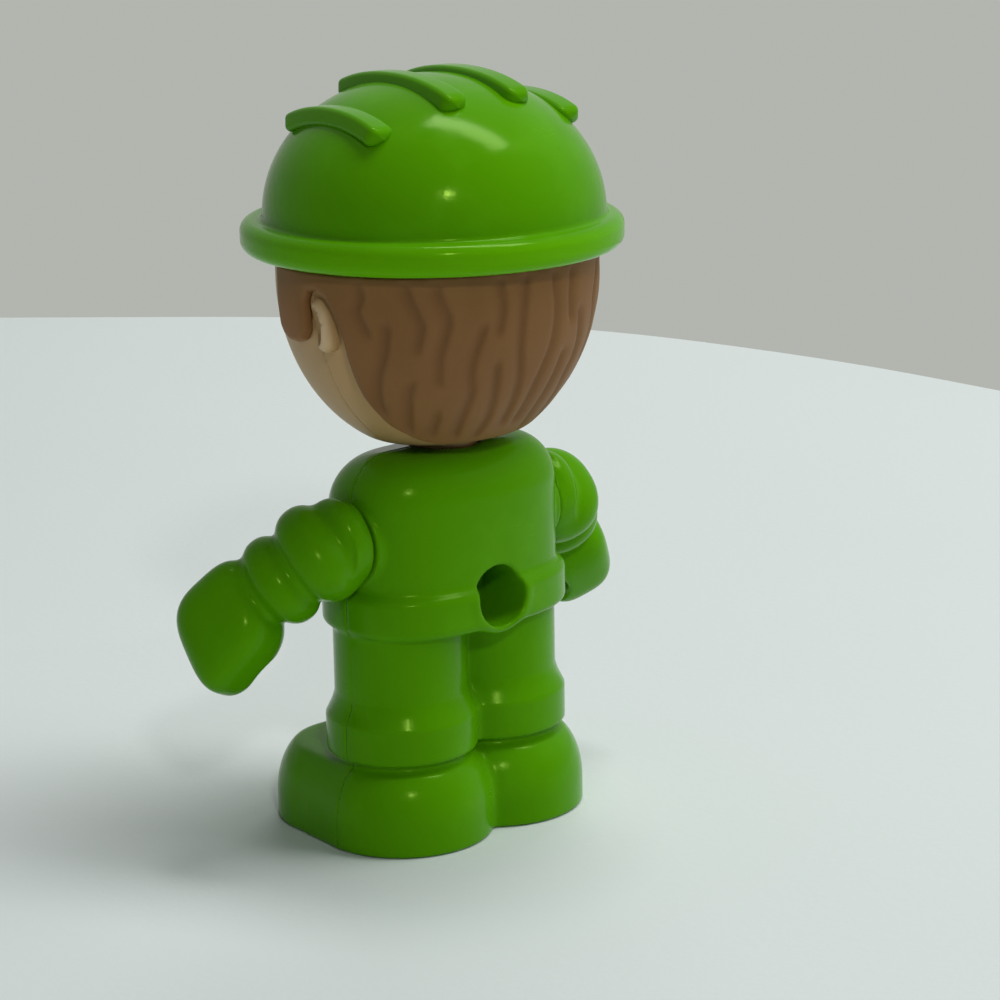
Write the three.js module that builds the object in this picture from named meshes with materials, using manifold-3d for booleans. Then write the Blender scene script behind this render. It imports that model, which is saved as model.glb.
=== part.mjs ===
// Toy worker figure in green plastic with a ribbed helmet, brown hair and two turning arms.
// Millimetres, +Z up. The figure faces -Y and its left side is +X. The ground is Z = 0.
import * as THREE from "three";
import { mergeVertices } from "three/addons/utils/BufferGeometryUtils.js";
import Module from "manifold-3d";

const wasm = await Module();
wasm.setup();

// Shells and fits
const SEAM = 1; // Y of the plane where the front and rear halves meet
const WALL = 1.8; // wall of the body and the head
const FIT = 0.3; // gap between pieces that move or plug together
const SIDES = 36; // segments round an outside form
const INNER_SIDES = 20; // segments round a hollow
const HELMET_SIDES = 44; // segments round the helmet
const SMALL_SIDES = 16; // segments round a peg or a pin

// Jacket
const TORSO_HALF = 12.8; // half width
const TORSO_REAR = 8.2; // seam to back
const TORSO_FRONT = 8.6; // seam to chest
const TORSO_SQUARE = 2.5; // squareness of the outline, 2 is an ellipse
const TORSO_TALL = 18.5; // hem to the collar plane
const SHOULDER_ROUND = 4.4; // rounding of the shoulder edge
const CHEST_DROP = 2.8; // how far the chest falls away from the collar
const HEM_LOW = 22.8; // lower edge of the jacket
const HEM_TALL = 4.4; // height of the hem band
const HEM_PROUD = 0.9; // how far the hem stands out
const HEM_ROUND = 0.8; // rounding of the hem edges

const TRIM_PROUD = 0.5; // how far the jacket trim stands out
const PLACKET_W = 3.4; // width of the front placket
const POCKET_X = 6.2; // pocket centre from the middle
const POCKET_W = 5; // pocket width
const POCKET_UP = 8.2; // pocket centre above the hem
const POCKET_TALL = 3.6; // pocket height

// Trousers and shoes
const LEG_APART = 6.3; // leg axis from the middle
const LEG_R = 7; // leg radius
const LEG_AHEAD = 0.4; // leg axis ahead of the seam
const CUFF_LOW = 9.3; // lower edge of the trouser cuff
const CUFF_TALL = 3.6; // straight height of the cuff
const CUFF_SLOPE = 2.8; // height of the slope above the cuff
const CUFF_PROUD = 0.9; // how far the cuff stands out
const SHOE_APART = 6.5; // shoe axis from the middle
const HEEL_R = 9.4; // heel radius in plan
const TOE_R = 8.8; // toe radius in plan
const TOE_AHEAD = 7.6; // toe centre ahead of the seam
const SHOE_TALL = 8.8; // shoe height
const SHOE_SIDE = 2.6; // upright height of the shoe side
const SHOE_CROWN = 3.6; // how far the shoe top is drawn in
const SOLE_ROUND = 0.3; // rounding of the sole edge

// Peg socket in the back
const SOCKET_R = 3.3; // bore radius
const SOCKET_UP = 3.2; // bore above the hem
const SOCKET_WALL = 1.4; // tube wall and floor
const SOCKET_END = 0.6; // tube end behind the seam

// Pins that close the shells
const PIN_R = 0.9; // pin radius
const PIN_LONG = 3; // pin length past the seam
const POST_R = 2.1; // post round a pin or a pin hole
const HIP_PIN_IN = 4.2; // hem pins in from the side of the torso
const HIP_PIN_UP = 2; // hem pins above the hem
const LEG_PIN_LOW = 6.3; // leg pins below the hem
const HEAD_PIN_X = 9; // head pins from the middle
const HEAD_PIN_LOW = 5; // head pins below the widest ring

// Neck
const NECK_R = 3.6; // stem radius
const NECK_FLANGE_R = 5.2; // flange radius
const FLANGE_THICK = 1.5; // flange of the neck and shoulder pegs
const NECK_BEARING = 2.8; // depth of the bearing in the collar
const HEAD_FLOOR = 2; // thickness of the head floor

// Head
const HEAD_R = 16.5; // skin radius at the temples
const HEAD_FLAT = 1.6; // how much nearer the back of the skin is
const HEAD_TALL = 17.4; // head base to the widest ring
const HEAD_UNDER = 1.4; // ellipse carried on below the head base
const HEAD_LEDGE = 2; // straight height above the widest ring
const HEAD_AHEAD = 0.6; // head axis ahead of the seam
const CHIN_AHEAD = 0.9; // chin ahead of the head axis
const SKULL_IN = 1.9; // step in from the skin under the helmet
const SKULL_RISE = 15; // skull top above the widest ring
const EAR_LOW = 3; // ear centre below the widest ring
const EAR_BACK = 1.3; // ear centre behind the seam
const EAR_TALL = 2.9; // half height of the ear
const EAR_WIDE = 1.7; // half width of the ear
const EAR_OUT = 1.5; // how far the ear stands out
const EAR_DISH = 1.1; // radius of the hollow in the ear
const NOSE_R = 1.5; // nose radius
const NOSE_LOW = 6.5; // nose below the widest ring

// Hair
const HAIR_THICK = 1.15; // hair thickness with its gap
const HAIR_LOCKS = 26; // locks round the head
const LOCK_DEPTH = 0.4; // depth of the groove between locks
const LOCK_WAVE = 0.1; // sideways wave of the locks in radians
const LOCK_TURNS = 1.5; // waves over the height of the head
const HAIR_UP = 2.2; // upper edge above the widest ring
const NAPE_UP = 1.6; // lower edge at the nape above the head base
const BURN_AHEAD = 5.8; // front of the sideburn ahead of the seam
const BURN_LOW = 2.2; // lower end of the sideburn below the ear centre
const EAR_GAP = 0.7; // hair edge round the ear
const HAIR_CORNER = 1; // corner of the hair outline
const HAIRLINE_BACK = 3.4; // how far the hairline runs back below the ear

// Helmet
const DOME_OVER = 3.1; // dome outside the skull
const DOME_TOP = 5.3; // dome above the skull top
const DOME_FULL = 2.15; // fullness of the dome, 2 is an ellipse
const DOME_UP = 1.3; // dome base above the middle of the brim
const DOME_WALL = 1.6; // dome wall
const BRIM_OUT = 2.05; // brim outside the dome
const BRIM_UP = 4.3; // middle of the brim above the widest ring
const BRIM_HALF = 1.65; // half thickness of the rolled brim
const BRIM_IN = 0.6; // bore of the brim inside the dome
const HELMET_TURN = -5.7; // turn of the helmet on the head, degrees
const RIB_PITCH = 7.7; // spacing of the ribs
const RIB_W = 2.6; // rib width
const RIB_PROUD = 1.1; // rib height above the dome
const RIB_LONG = 10; // half length of an inner rib
const RIB_SHORT = 8.1; // half length of an outer rib
const POST_HELMET_R = 3.2; // peg that plugs into the skull
const POST_HELMET_LONG = 5; // how far it plugs in

// Arms
const SHOULDER_LOW = 8.9; // shoulder axis below the collar
const ARM_GAP = 0.5; // sleeve clear of the body
const CAP_R = 5.7; // shoulder puff radius
const CAP_HALF = 4; // shoulder puff half thickness
const CAP_OUT = 2.3; // shoulder puff centre outside the face
const SPLAY = 35; // arm axis outward, degrees
const RAISE = 44; // arm axis forward from straight down, degrees
const PUFF_OUT = 4; // second puff centre outside the face
const PUFF_AHEAD = 2.9; // second puff ahead of the shoulder axis
const PUFF_LOW = 1.9; // second puff below the shoulder axis
const PUFF_R = 5.1; // second puff radius
const PUFF_HALF = 3.9; // second puff half length
const RING_ON = 4.6; // sleeve ring along the arm
const RING_R = 4.9; // sleeve ring radius
const RING_HALF = 3; // sleeve ring half length
const HAND_ON = 9.9; // mitten centre along the arm
const HAND_R = 4.7; // mitten half thickness
const HAND_WIDE = 5.2; // mitten half width, back to mouth of the grip
const HAND_HALF = 7; // mitten half length
const HAND_BEND = 56; // bend of the mitten towards the palm, degrees
const HAND_DOWN = 1.1; // mitten centre towards the palm
const GRIP_R = 2.3; // grip bore radius
const GRIP_IN = 1.5; // grip bore towards the body
const GRIP_MOUTH = 3.4; // width of the grip mouth
const PEG_R = 2.6; // shoulder peg radius
const PEG_FLANGE_R = 4.1; // shoulder peg flange radius
const PEG_TIP_R = 2.1; // end of the peg inside the sleeve
const PEG_TIP_LONG = 3.4; // length of that end
const BEARING_R = 5.2; // boss round the shoulder bore
const BEARING_DEEP = 4; // depth of that boss

// Places that follow from these sizes
const torsoTop = HEM_LOW + TORSO_TALL;
const pocketZ = HEM_LOW + POCKET_UP;
const socketZ = HEM_LOW + SOCKET_UP;
const hipPinX = TORSO_HALF - HIP_PIN_IN;
const hipPinZ = HEM_LOW + HIP_PIN_UP;
const hemTop = HEM_LOW + HEM_TALL;
const legPinZ = HEM_LOW - LEG_PIN_LOW;
const shoulderZ = torsoTop - SHOULDER_LOW;
const armFace = TORSO_HALF + ARM_GAP;
const sleeveFace = TORSO_HALF + HEM_PROUD + FIT;
const seatR = shoulderZ - hemTop - FIT;
const bearingIn = TORSO_HALF - BEARING_DEEP;
const headBase = torsoTop + FIT;
const headWide = headBase + HEAD_TALL;
const headDrop = HEAD_TALL + HEAD_UNDER;
const headRearR = HEAD_R - HEAD_FLAT;
const headPinZ = headWide - HEAD_PIN_LOW;
const earY = SEAM + EAR_BACK;
const earZ = headWide - EAR_LOW;
const noseZ = headWide - NOSE_LOW;
const hairTop = headWide + HAIR_UP;
const napeZ = headBase + NAPE_UP;
const burnZ = earZ - BURN_LOW;
const skullR = HEAD_R - SKULL_IN;
const skullTop = headWide + SKULL_RISE;
const brimZ = headWide + BRIM_UP;
const domeZ = brimZ + DOME_UP;
const domeR = skullR + DOME_OVER;
const domeRise = skullTop + DOME_TOP - domeZ;
const brimR = domeR + BRIM_OUT;

// Reach of the cutting blocks
const FAR = 60;

// Solids and their joining

function solid(geometry) {
  const plain = geometry.clone();
  plain.deleteAttribute("normal");
  plain.deleteAttribute("uv");
  const merged = mergeVertices(plain, 1e-4);
  const mesh = new wasm.Mesh({
    numProp: 3,
    vertProperties: Float32Array.from(merged.attributes.position.array),
    triVerts: Uint32Array.from(merged.index.array),
  });
  mesh.merge();
  return new wasm.Manifold(mesh);
}

const join = (...list) => list.reduce((all, one) => all.add(one));
const cut = (body, ...tools) => tools.reduce((left, one) => left.subtract(one), body);

function block(x0, x1, y0, y1, z0, z1) {
  const box = new THREE.BoxGeometry(x1 - x0, y1 - y0, z1 - z0);
  box.translate((x0 + x1) / 2, (y0 + y1) / 2, (z0 + z1) / 2);
  return solid(box);
}

const AHEAD_OF_SEAM = block(-FAR, FAR, -FAR, SEAM, -FAR, 2 * FAR);
const BEHIND_SEAM = block(-FAR, FAR, SEAM, FAR, -FAR, 2 * FAR);

// A rod between two points
function rod(from, to, radius, sides = SMALL_SIDES) {
  const way = new THREE.Vector3().subVectors(to, from);
  const bar = new THREE.CylinderGeometry(radius, radius, way.length(), sides);
  const turn = new THREE.Quaternion().setFromUnitVectors(
    new THREE.Vector3(0, 1, 0),
    way.clone().normalize(),
  );
  bar.applyQuaternion(turn);
  bar.translate((from.x + to.x) / 2, (from.y + to.y) / 2, (from.z + to.z) / 2);
  return solid(bar);
}

const at = (x, y, z) => new THREE.Vector3(x, y, z);

// An egg of three half axes, turned by a basis
function egg(centre, half, basis, sides = INNER_SIDES) {
  const ball = new THREE.SphereGeometry(1, sides, sides / 2);
  const frame = new THREE.Matrix4().makeBasis(
    basis[0].clone().multiplyScalar(half[0]),
    basis[1].clone().multiplyScalar(half[1]),
    basis[2].clone().multiplyScalar(half[2]),
  );
  ball.applyMatrix4(frame);
  ball.translate(centre.x, centre.y, centre.z);
  return solid(ball);
}

const SQUARE_ON = [at(1, 0, 0), at(0, 1, 0), at(0, 0, 1)];

// A skin over rings of equal point count, closed flat at both ends
function loft(rings) {
  const count = rings[0].length;
  const points = rings.flat();
  const index = [];
  for (let r = 0; r + 1 < rings.length; r += 1) {
    for (let k = 0; k < count; k += 1) {
      const a = r * count + k;
      const b = r * count + ((k + 1) % count);
      index.push(a, b, b + count, a, b + count, a + count);
    }
  }
  const middle = (ring) =>
    ring.reduce((sum, p) => sum.add(p), at(0, 0, 0)).divideScalar(count);
  const top = (rings.length - 1) * count;
  points.push(middle(rings[0]), middle(rings[rings.length - 1]));
  for (let k = 0; k < count; k += 1) {
    const next = (k + 1) % count;
    index.push(next, k, points.length - 2, top + k, top + next, points.length - 1);
  }
  const skin = new THREE.BufferGeometry().setFromPoints(points);
  skin.setIndex(index);
  return solid(skin);
}

// Body

function torsoRing(half, front, rear, z, sides = SIDES, drop = 0) {
  const ring = [];
  const power = 2 / TORSO_SQUARE;
  for (let k = 0; k < sides; k += 1) {
    const angle = (k / sides) * 2 * Math.PI;
    const c = Math.cos(angle);
    const s = Math.sin(angle);
    const deep = s > 0 ? rear : front;
    ring.push(
      at(
        Math.sign(c) * Math.abs(c) ** power * half,
        SEAM + Math.sign(s) * Math.abs(s) ** power * deep,
        s > 0 ? z : z - (drop * Math.abs(s) ** power * deep) / TORSO_FRONT,
      ),
    );
  }
  return ring;
}

const sidesFor = (inset) => (inset > 0 ? INNER_SIDES : SIDES);

function torsoForm(inset) {
  const sides = sidesFor(inset);
  const half = TORSO_HALF - inset;
  const front = TORSO_FRONT - inset;
  const rear = TORSO_REAR - inset;
  const top = torsoTop - inset;
  const rings = [torsoRing(half, front, rear, HEM_LOW + inset, sides)];
  const steps = inset > 0 ? 3 : 5;
  for (let k = 0; k <= steps; k += 1) {
    const lift = Math.sin((k / steps) * (Math.PI / 2));
    const draw = SHOULDER_ROUND * (1 - Math.cos((k / steps) * (Math.PI / 2)));
    const z = top - SHOULDER_ROUND * (1 - lift);
    const drop = CHEST_DROP * lift;
    rings.push(torsoRing(half - draw, front - draw, rear - draw, z, sides, drop));
  }
  return loft(rings);
}

function hemForm() {
  const ring = (proud, z) =>
    torsoRing(TORSO_HALF + proud, TORSO_FRONT + proud, TORSO_REAR + proud, z);
  const soft = HEM_ROUND * (1 - Math.SQRT1_2);
  return loft([
    ring(HEM_PROUD - HEM_ROUND, HEM_LOW),
    ring(HEM_PROUD - soft, HEM_LOW + soft),
    ring(HEM_PROUD, HEM_LOW + HEM_ROUND),
    ring(HEM_PROUD, hemTop - HEM_ROUND),
    ring(HEM_PROUD - soft, hemTop - soft),
    ring(HEM_PROUD - HEM_ROUND, hemTop),
  ]);
}

// Turned form from (radius, height) pairs that start and end on the axis
function turned(pairs, x, y, sides = SIDES) {
  const profile = pairs.map(([radius, height]) => new THREE.Vector2(radius, height));
  const body = new THREE.LatheGeometry(profile, sides);
  body.rotateX(Math.PI / 2);
  body.translate(x, y, 0);
  return solid(body);
}

function legForm(side, inset, low, high) {
  const r = LEG_R - inset;
  const profile = [[0, low], [r, low], [r, high], [0, high]];
  return turned(profile, side * LEG_APART, SEAM - LEG_AHEAD, sidesFor(inset));
}

function cuffForm(side) {
  const r = LEG_R + CUFF_PROUD;
  const top = CUFF_LOW + CUFF_TALL;
  const soft = CUFF_PROUD / 2;
  const profile = [
    [0, CUFF_LOW],
    [r - soft, CUFF_LOW],
    [r, CUFF_LOW + soft],
    [r, top - soft],
    [r - soft / 2, top],
    [LEG_R, top + CUFF_SLOPE],
    [0, top + CUFF_SLOPE],
  ];
  return turned(profile, side * LEG_APART, SEAM - LEG_AHEAD);
}

function shoeForm(side, inset) {
  const ring = (draw, z) => {
    const points = [];
    const sides = sidesFor(inset);
    for (let k = 0; k < sides; k += 1) {
      const angle = (k / sides) * 2 * Math.PI;
      const heel = Math.sin(angle) >= 0;
      const r = (heel ? HEEL_R : TOE_R) - draw - inset;
      const y = SEAM + (heel ? 0 : -TOE_AHEAD);
      points.push(at(side * SHOE_APART + r * Math.cos(angle), y + r * Math.sin(angle), z));
    }
    return points;
  };
  const rings = [ring(SOLE_ROUND, inset), ring(0, SOLE_ROUND + inset)];
  const steps = inset > 0 ? 3 : 4;
  for (let k = 0; k <= steps; k += 1) {
    const turn = (k / steps) * (Math.PI / 2);
    const z = SHOE_SIDE + (SHOE_TALL - inset - SHOE_SIDE) * Math.sin(turn);
    rings.push(ring(SHOE_CROWN * (1 - Math.cos(turn)), z));
  }
  return loft(rings);
}

// Placket and pockets, kept to a thin layer over the chest
const trimPlan = join(
  block(-PLACKET_W / 2, PLACKET_W / 2, -FAR, SEAM, HEM_LOW + HEM_TALL / 2, torsoTop - SHOULDER_ROUND),
  ...[1, -1].map((side) =>
    block(
      side * POCKET_X - POCKET_W / 2,
      side * POCKET_X + POCKET_W / 2,
      -FAR,
      SEAM,
      pocketZ - POCKET_TALL / 2,
      pocketZ + POCKET_TALL / 2,
    ),
  ),
);
const trim = torsoForm(-TRIM_PROUD).intersect(trimPlan);

const bodyOuter = join(
  torsoForm(0),
  hemForm(),
  trim,
  ...[1, -1].flatMap((side) => [
    legForm(side, 0, SHOE_SIDE, hemTop),
    cuffForm(side),
    shoeForm(side, 0),
  ]),
);
const bodyHollow = join(
  torsoForm(WALL),
  ...[1, -1].flatMap((side) => [
    legForm(side, WALL, SHOE_SIDE, hemTop),
    shoeForm(side, WALL),
  ]),
);

// Bearings for the neck and the shoulders, and the posts of the closing pins
const neckLow = torsoTop - NECK_BEARING;
const neckBoss = rod(at(0, SEAM, neckLow), at(0, SEAM, torsoTop), NECK_FLANGE_R + FIT, SIDES);
const neckBore = rod(at(0, SEAM, neckLow - WALL), at(0, SEAM, torsoTop + WALL), NECK_R + FIT);
const spoolLow = neckLow - FIT - FLANGE_THICK;
const neckRoom = rod(
  at(0, SEAM, spoolLow - FIT),
  at(0, SEAM, neckLow),
  NECK_FLANGE_R + FIT,
);
const shoulderBoss = (side) =>
  rod(at(side * bearingIn, SEAM, shoulderZ), at(side * TORSO_HALF, SEAM, shoulderZ), BEARING_R);
const shoulderBore = (side) =>
  rod(at(side * WALL, SEAM, shoulderZ), at(side * FAR, SEAM, shoulderZ), PEG_R + FIT);
const bodyPins = [1, -1].flatMap((side) => [
  [side * hipPinX, hipPinZ],
  [side * LEG_APART, legPinZ],
]);
const pinRod = ([x, z], y0, y1, radius) => rod(at(x, y0, z), at(x, y1, z), radius);

const bodyBosses = join(neckBoss, shoulderBoss(1), shoulderBoss(-1));
const bodyPosts = join(...bodyPins.map((pin) => pinRod(pin, -FAR, FAR, POST_R)));
const bodyShell = cut(
  join(cut(bodyOuter, bodyHollow), bodyBosses.intersect(bodyOuter), bodyPosts.intersect(bodyOuter)),
  neckBore,
  neckRoom,
  shoulderBore(1),
  shoulderBore(-1),
);

const bodyFront = cut(
  bodyShell.intersect(AHEAD_OF_SEAM),
  ...bodyPins.map((pin) => pinRod(pin, SEAM - PIN_LONG - FIT, SEAM + FIT, PIN_R + FIT)),
);

const socketTube = rod(
  at(0, SEAM + SOCKET_END, socketZ),
  at(0, SEAM + TORSO_REAR, socketZ),
  SOCKET_R + SOCKET_WALL,
  SIDES,
);
const socketBore = rod(
  at(0, SEAM + SOCKET_END + SOCKET_WALL, socketZ),
  at(0, FAR, socketZ),
  SOCKET_R,
  SIDES,
);
const bodyRear = cut(
  join(
    bodyShell.intersect(BEHIND_SEAM),
    socketTube,
    ...bodyPins.map((pin) => pinRod(pin, SEAM - PIN_LONG, SEAM + WALL, PIN_R)),
  ),
  socketBore,
);

// Head

const headY = SEAM - HEAD_AHEAD;

// Radius and forward shift of the lower head at a height
function headAt(z, radius, drop) {
  const v = Math.min(Math.max((headWide - z) / drop, 0), 1);
  return { r: radius * Math.sqrt(1 - v * v), y: headY - CHIN_AHEAD * v * v };
}

function roundRing(r, flat, y, z, sides, shape = () => 0) {
  const ring = [];
  for (let k = 0; k < sides; k += 1) {
    const angle = (k / sides) * 2 * Math.PI;
    const here = r - shape(angle, z);
    const deep = Math.sin(angle) > 0 ? here * flat : here;
    ring.push(at(here * Math.cos(angle), y + deep * Math.sin(angle), z));
  }
  return ring;
}

function bowlForm(grow, low, high, sides, shape) {
  const steps = sides > INNER_SIDES ? 10 : 6;
  const radius = HEAD_R + grow;
  const drop = headDrop + grow;
  const flat = (headRearR + grow) / radius;
  const rings = [];
  for (let k = 0; k <= steps; k += 1) {
    const z = low + (headWide - low) * Math.sin((k / steps) * (Math.PI / 2));
    const { r, y } = headAt(z, radius, drop);
    rings.push(roundRing(r, flat, y, z, sides, shape));
  }
  rings.push(roundRing(radius, flat, headY, high, sides, shape));
  return loft(rings);
}

function skullForm(inset) {
  const half = [skullR - inset, skullR - inset, SKULL_RISE - inset];
  return egg(at(0, headY, headWide), half, SQUARE_ON, INNER_SIDES).intersect(
    block(-FAR, FAR, -FAR, FAR, headWide, 2 * FAR),
  );
}

const headOuter = join(
  bowlForm(0, headBase, headWide + HEAD_LEDGE, SIDES),
  skullForm(0),
);
const headHollow = join(
  bowlForm(-WALL, headBase + HEAD_FLOOR, headWide + FIT, INNER_SIDES),
  skullForm(WALL),
);
const headPins = [1, -1].map((side) => [side * HEAD_PIN_X, headPinZ]);
const headPosts = join(...headPins.map((pin) => pinRod(pin, -FAR, FAR, POST_R)));
const helmetSocket = rod(
  at(0, headY, skullTop - POST_HELMET_LONG - FIT),
  at(0, headY, skullTop + WALL),
  POST_HELMET_R + FIT,
);
const headBore = rod(
  at(0, SEAM, headBase - WALL),
  at(0, SEAM, headBase + HEAD_FLOOR + WALL),
  NECK_R + FIT,
);
const spoolHigh = headBase + HEAD_FLOOR + FIT + FLANGE_THICK;
const headRoom = rod(
  at(0, SEAM, headBase + HEAD_FLOOR),
  at(0, SEAM, spoolHigh + FIT),
  NECK_FLANGE_R + FIT,
);
const headShell = cut(
  join(cut(headOuter, headHollow), headPosts.intersect(headOuter)),
  helmetSocket,
  headBore,
  headRoom,
);

const earHold = (grow) =>
  join(
    ...[1, -1].map((side) => {
      const { r } = headAt(earZ, HEAD_R, headDrop);
      const half = [EAR_OUT + WALL / 2 + grow, EAR_WIDE + grow, EAR_TALL + grow];
      return egg(at(side * (r - WALL / 2), earY, earZ), half, SQUARE_ON, SMALL_SIDES);
    }),
  );
const earDish = join(
  ...[1, -1].map((side) => {
    const { r } = headAt(earZ, HEAD_R, headDrop);
    const half = [EAR_OUT, EAR_DISH, EAR_TALL - EAR_DISH];
    return egg(at(side * (r + EAR_OUT), earY - EAR_DISH, earZ), half, SQUARE_ON, SMALL_SIDES);
  }),
);
const noseSeat = headAt(noseZ, HEAD_R, headDrop);
const nose = egg(
  at(0, noseSeat.y - noseSeat.r, noseZ),
  [NOSE_R, NOSE_R, NOSE_R],
  SQUARE_ON,
  SMALL_SIDES,
);
const face = cut(
  join(headShell.intersect(AHEAD_OF_SEAM), cut(nose, headHollow)),
  earHold(FIT),
  ...headPins.map((pin) => pinRod(pin, SEAM - PIN_LONG - FIT, SEAM + FIT, PIN_R + FIT)),
);
const headRear = cut(
  join(
    headShell.intersect(BEHIND_SEAM),
    cut(earHold(0), headHollow),
    ...headPins.map((pin) => pinRod(pin, SEAM - PIN_LONG, SEAM + WALL, PIN_R)),
  ),
  earDish,
);

// Hair, a cap over the rear of the head with wavy locks

const lockGroove = (angle, z) => {
  const wave = LOCK_WAVE * Math.sin((z / headDrop) * LOCK_TURNS * 2 * Math.PI);
  const across = Math.abs(Math.sin(((angle + wave) * HAIR_LOCKS) / 2));
  return LOCK_DEPTH * (1 - across);
};
const hairOuter = bowlForm(HAIR_THICK, napeZ, hairTop, HAIR_LOCKS * 4, lockGroove);
const hairInner = bowlForm(FIT, headBase, hairTop + FIT, SIDES);

// Side outline of the hair, drawn as (distance behind the seam, height)
const earFront = EAR_BACK - EAR_WIDE - EAR_GAP;
const earEdge = EAR_BACK + EAR_WIDE + EAR_GAP;
const earTop = earZ + EAR_TALL + EAR_GAP;
const earLow = earZ - EAR_TALL;
const hairline = [0, 0.25, 0.5, 0.75, 1].map((t) => [
  earEdge + HAIRLINE_BACK * t * t,
  earLow + (napeZ - earLow) * t,
]);
const hairOutline = [
  [-BURN_AHEAD, hairTop + WALL],
  [-BURN_AHEAD, burnZ + HAIR_CORNER],
  [-BURN_AHEAD + HAIR_CORNER, burnZ],
  [earFront - HAIR_CORNER, burnZ],
  [earFront, burnZ + HAIR_CORNER],
  [earFront, earTop - HAIR_CORNER],
  [earFront + HAIR_CORNER, earTop],
  [earEdge - HAIR_CORNER, earTop],
  [earEdge, earTop - HAIR_CORNER],
  ...hairline,
  [earEdge + HAIRLINE_BACK, napeZ - WALL],
  [FAR, napeZ - WALL],
  [FAR, hairTop + WALL],
];
const hairSide = new THREE.ExtrudeGeometry(
  new THREE.Shape(hairOutline.map(([y, z]) => new THREE.Vector2(SEAM + y, z))),
  { depth: 2 * FAR, bevelEnabled: false },
);
hairSide.applyMatrix4(
  new THREE.Matrix4().makeBasis(at(0, 1, 0), at(0, 0, 1), at(1, 0, 0)),
);
hairSide.translate(-FAR, 0, 0);
const hair = cut(hairOuter.intersect(solid(hairSide)), hairInner, earHold(FIT));

// Neck spool

const spool = turned(
  [
    [0, spoolLow],
    [NECK_FLANGE_R, spoolLow],
    [NECK_FLANGE_R, spoolLow + FLANGE_THICK],
    [NECK_R, spoolLow + FLANGE_THICK],
    [NECK_R, spoolHigh - FLANGE_THICK],
    [NECK_FLANGE_R, spoolHigh - FLANGE_THICK],
    [NECK_FLANGE_R, spoolHigh],
    [0, spoolHigh],
  ],
  0,
  SEAM,
  SMALL_SIDES,
);

// Helmet, centred on the brim

function domeForm(grow) {
  const profile = [[0, domeZ - FIT], [domeR + grow, domeZ - FIT]];
  const steps = 9;
  for (let k = 0; k <= steps; k += 1) {
    const turn = (k / steps) * (Math.PI / 2);
    const out = k < steps ? Math.cos(turn) ** (2 / DOME_FULL) : 0;
    const up = Math.sin(turn) ** (2 / DOME_FULL);
    profile.push([(domeR + grow) * out, domeZ + (domeRise + grow) * up]);
  }
  return turned(profile, 0, headY, grow < 0 ? INNER_SIDES : HELMET_SIDES);
}

const brimSteps = 6;
const brimProfile = [];
for (let k = 0; k <= brimSteps; k += 1) {
  const angle = (k / brimSteps - 0.5) * Math.PI;
  brimProfile.push([
    brimR - BRIM_HALF + BRIM_HALF * Math.cos(angle),
    brimZ + BRIM_HALF * Math.sin(angle),
  ]);
}
const brim = turned(
  [[0, brimZ - BRIM_HALF], ...brimProfile, [0, brimZ + BRIM_HALF]],
  0,
  0,
  HELMET_SIDES,
);

// A rib is a round-ended bar in plan, kept to the space just over the dome
function ribForm(x, halfLong) {
  const plan = new THREE.Shape();
  plan.absarc(x, halfLong - RIB_W / 2, RIB_W / 2, 0, Math.PI);
  plan.absarc(x, RIB_W / 2 - halfLong, RIB_W / 2, Math.PI, 2 * Math.PI);
  const bar = new THREE.ExtrudeGeometry(plan, {
    depth: 2 * domeRise,
    bevelEnabled: false,
    curveSegments: 6,
  });
  bar.rotateZ(THREE.MathUtils.degToRad(HELMET_TURN));
  bar.translate(0, headY, domeZ + domeRise / 4);
  return solid(bar).intersect(domeForm(RIB_PROUD));
}

const helmetPost = rod(
  at(0, headY, skullTop - POST_HELMET_LONG),
  at(0, headY, domeZ + domeRise - DOME_WALL / 2),
  POST_HELMET_R,
);
const helmet = join(
  cut(
    join(
      domeForm(0),
      brim,
      ribForm(RIB_PITCH / 2, RIB_LONG),
      ribForm(-RIB_PITCH / 2, RIB_LONG),
      ribForm(RIB_PITCH * 1.5, RIB_SHORT),
      ribForm(-RIB_PITCH * 1.5, RIB_SHORT),
    ),
    domeForm(-DOME_WALL),
    rod(at(0, headY, brimZ - FAR), at(0, headY, domeZ), domeR - BRIM_IN, SIDES),
  ),
  helmetPost,
);

// Arms, in the raised pose of rest

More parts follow.
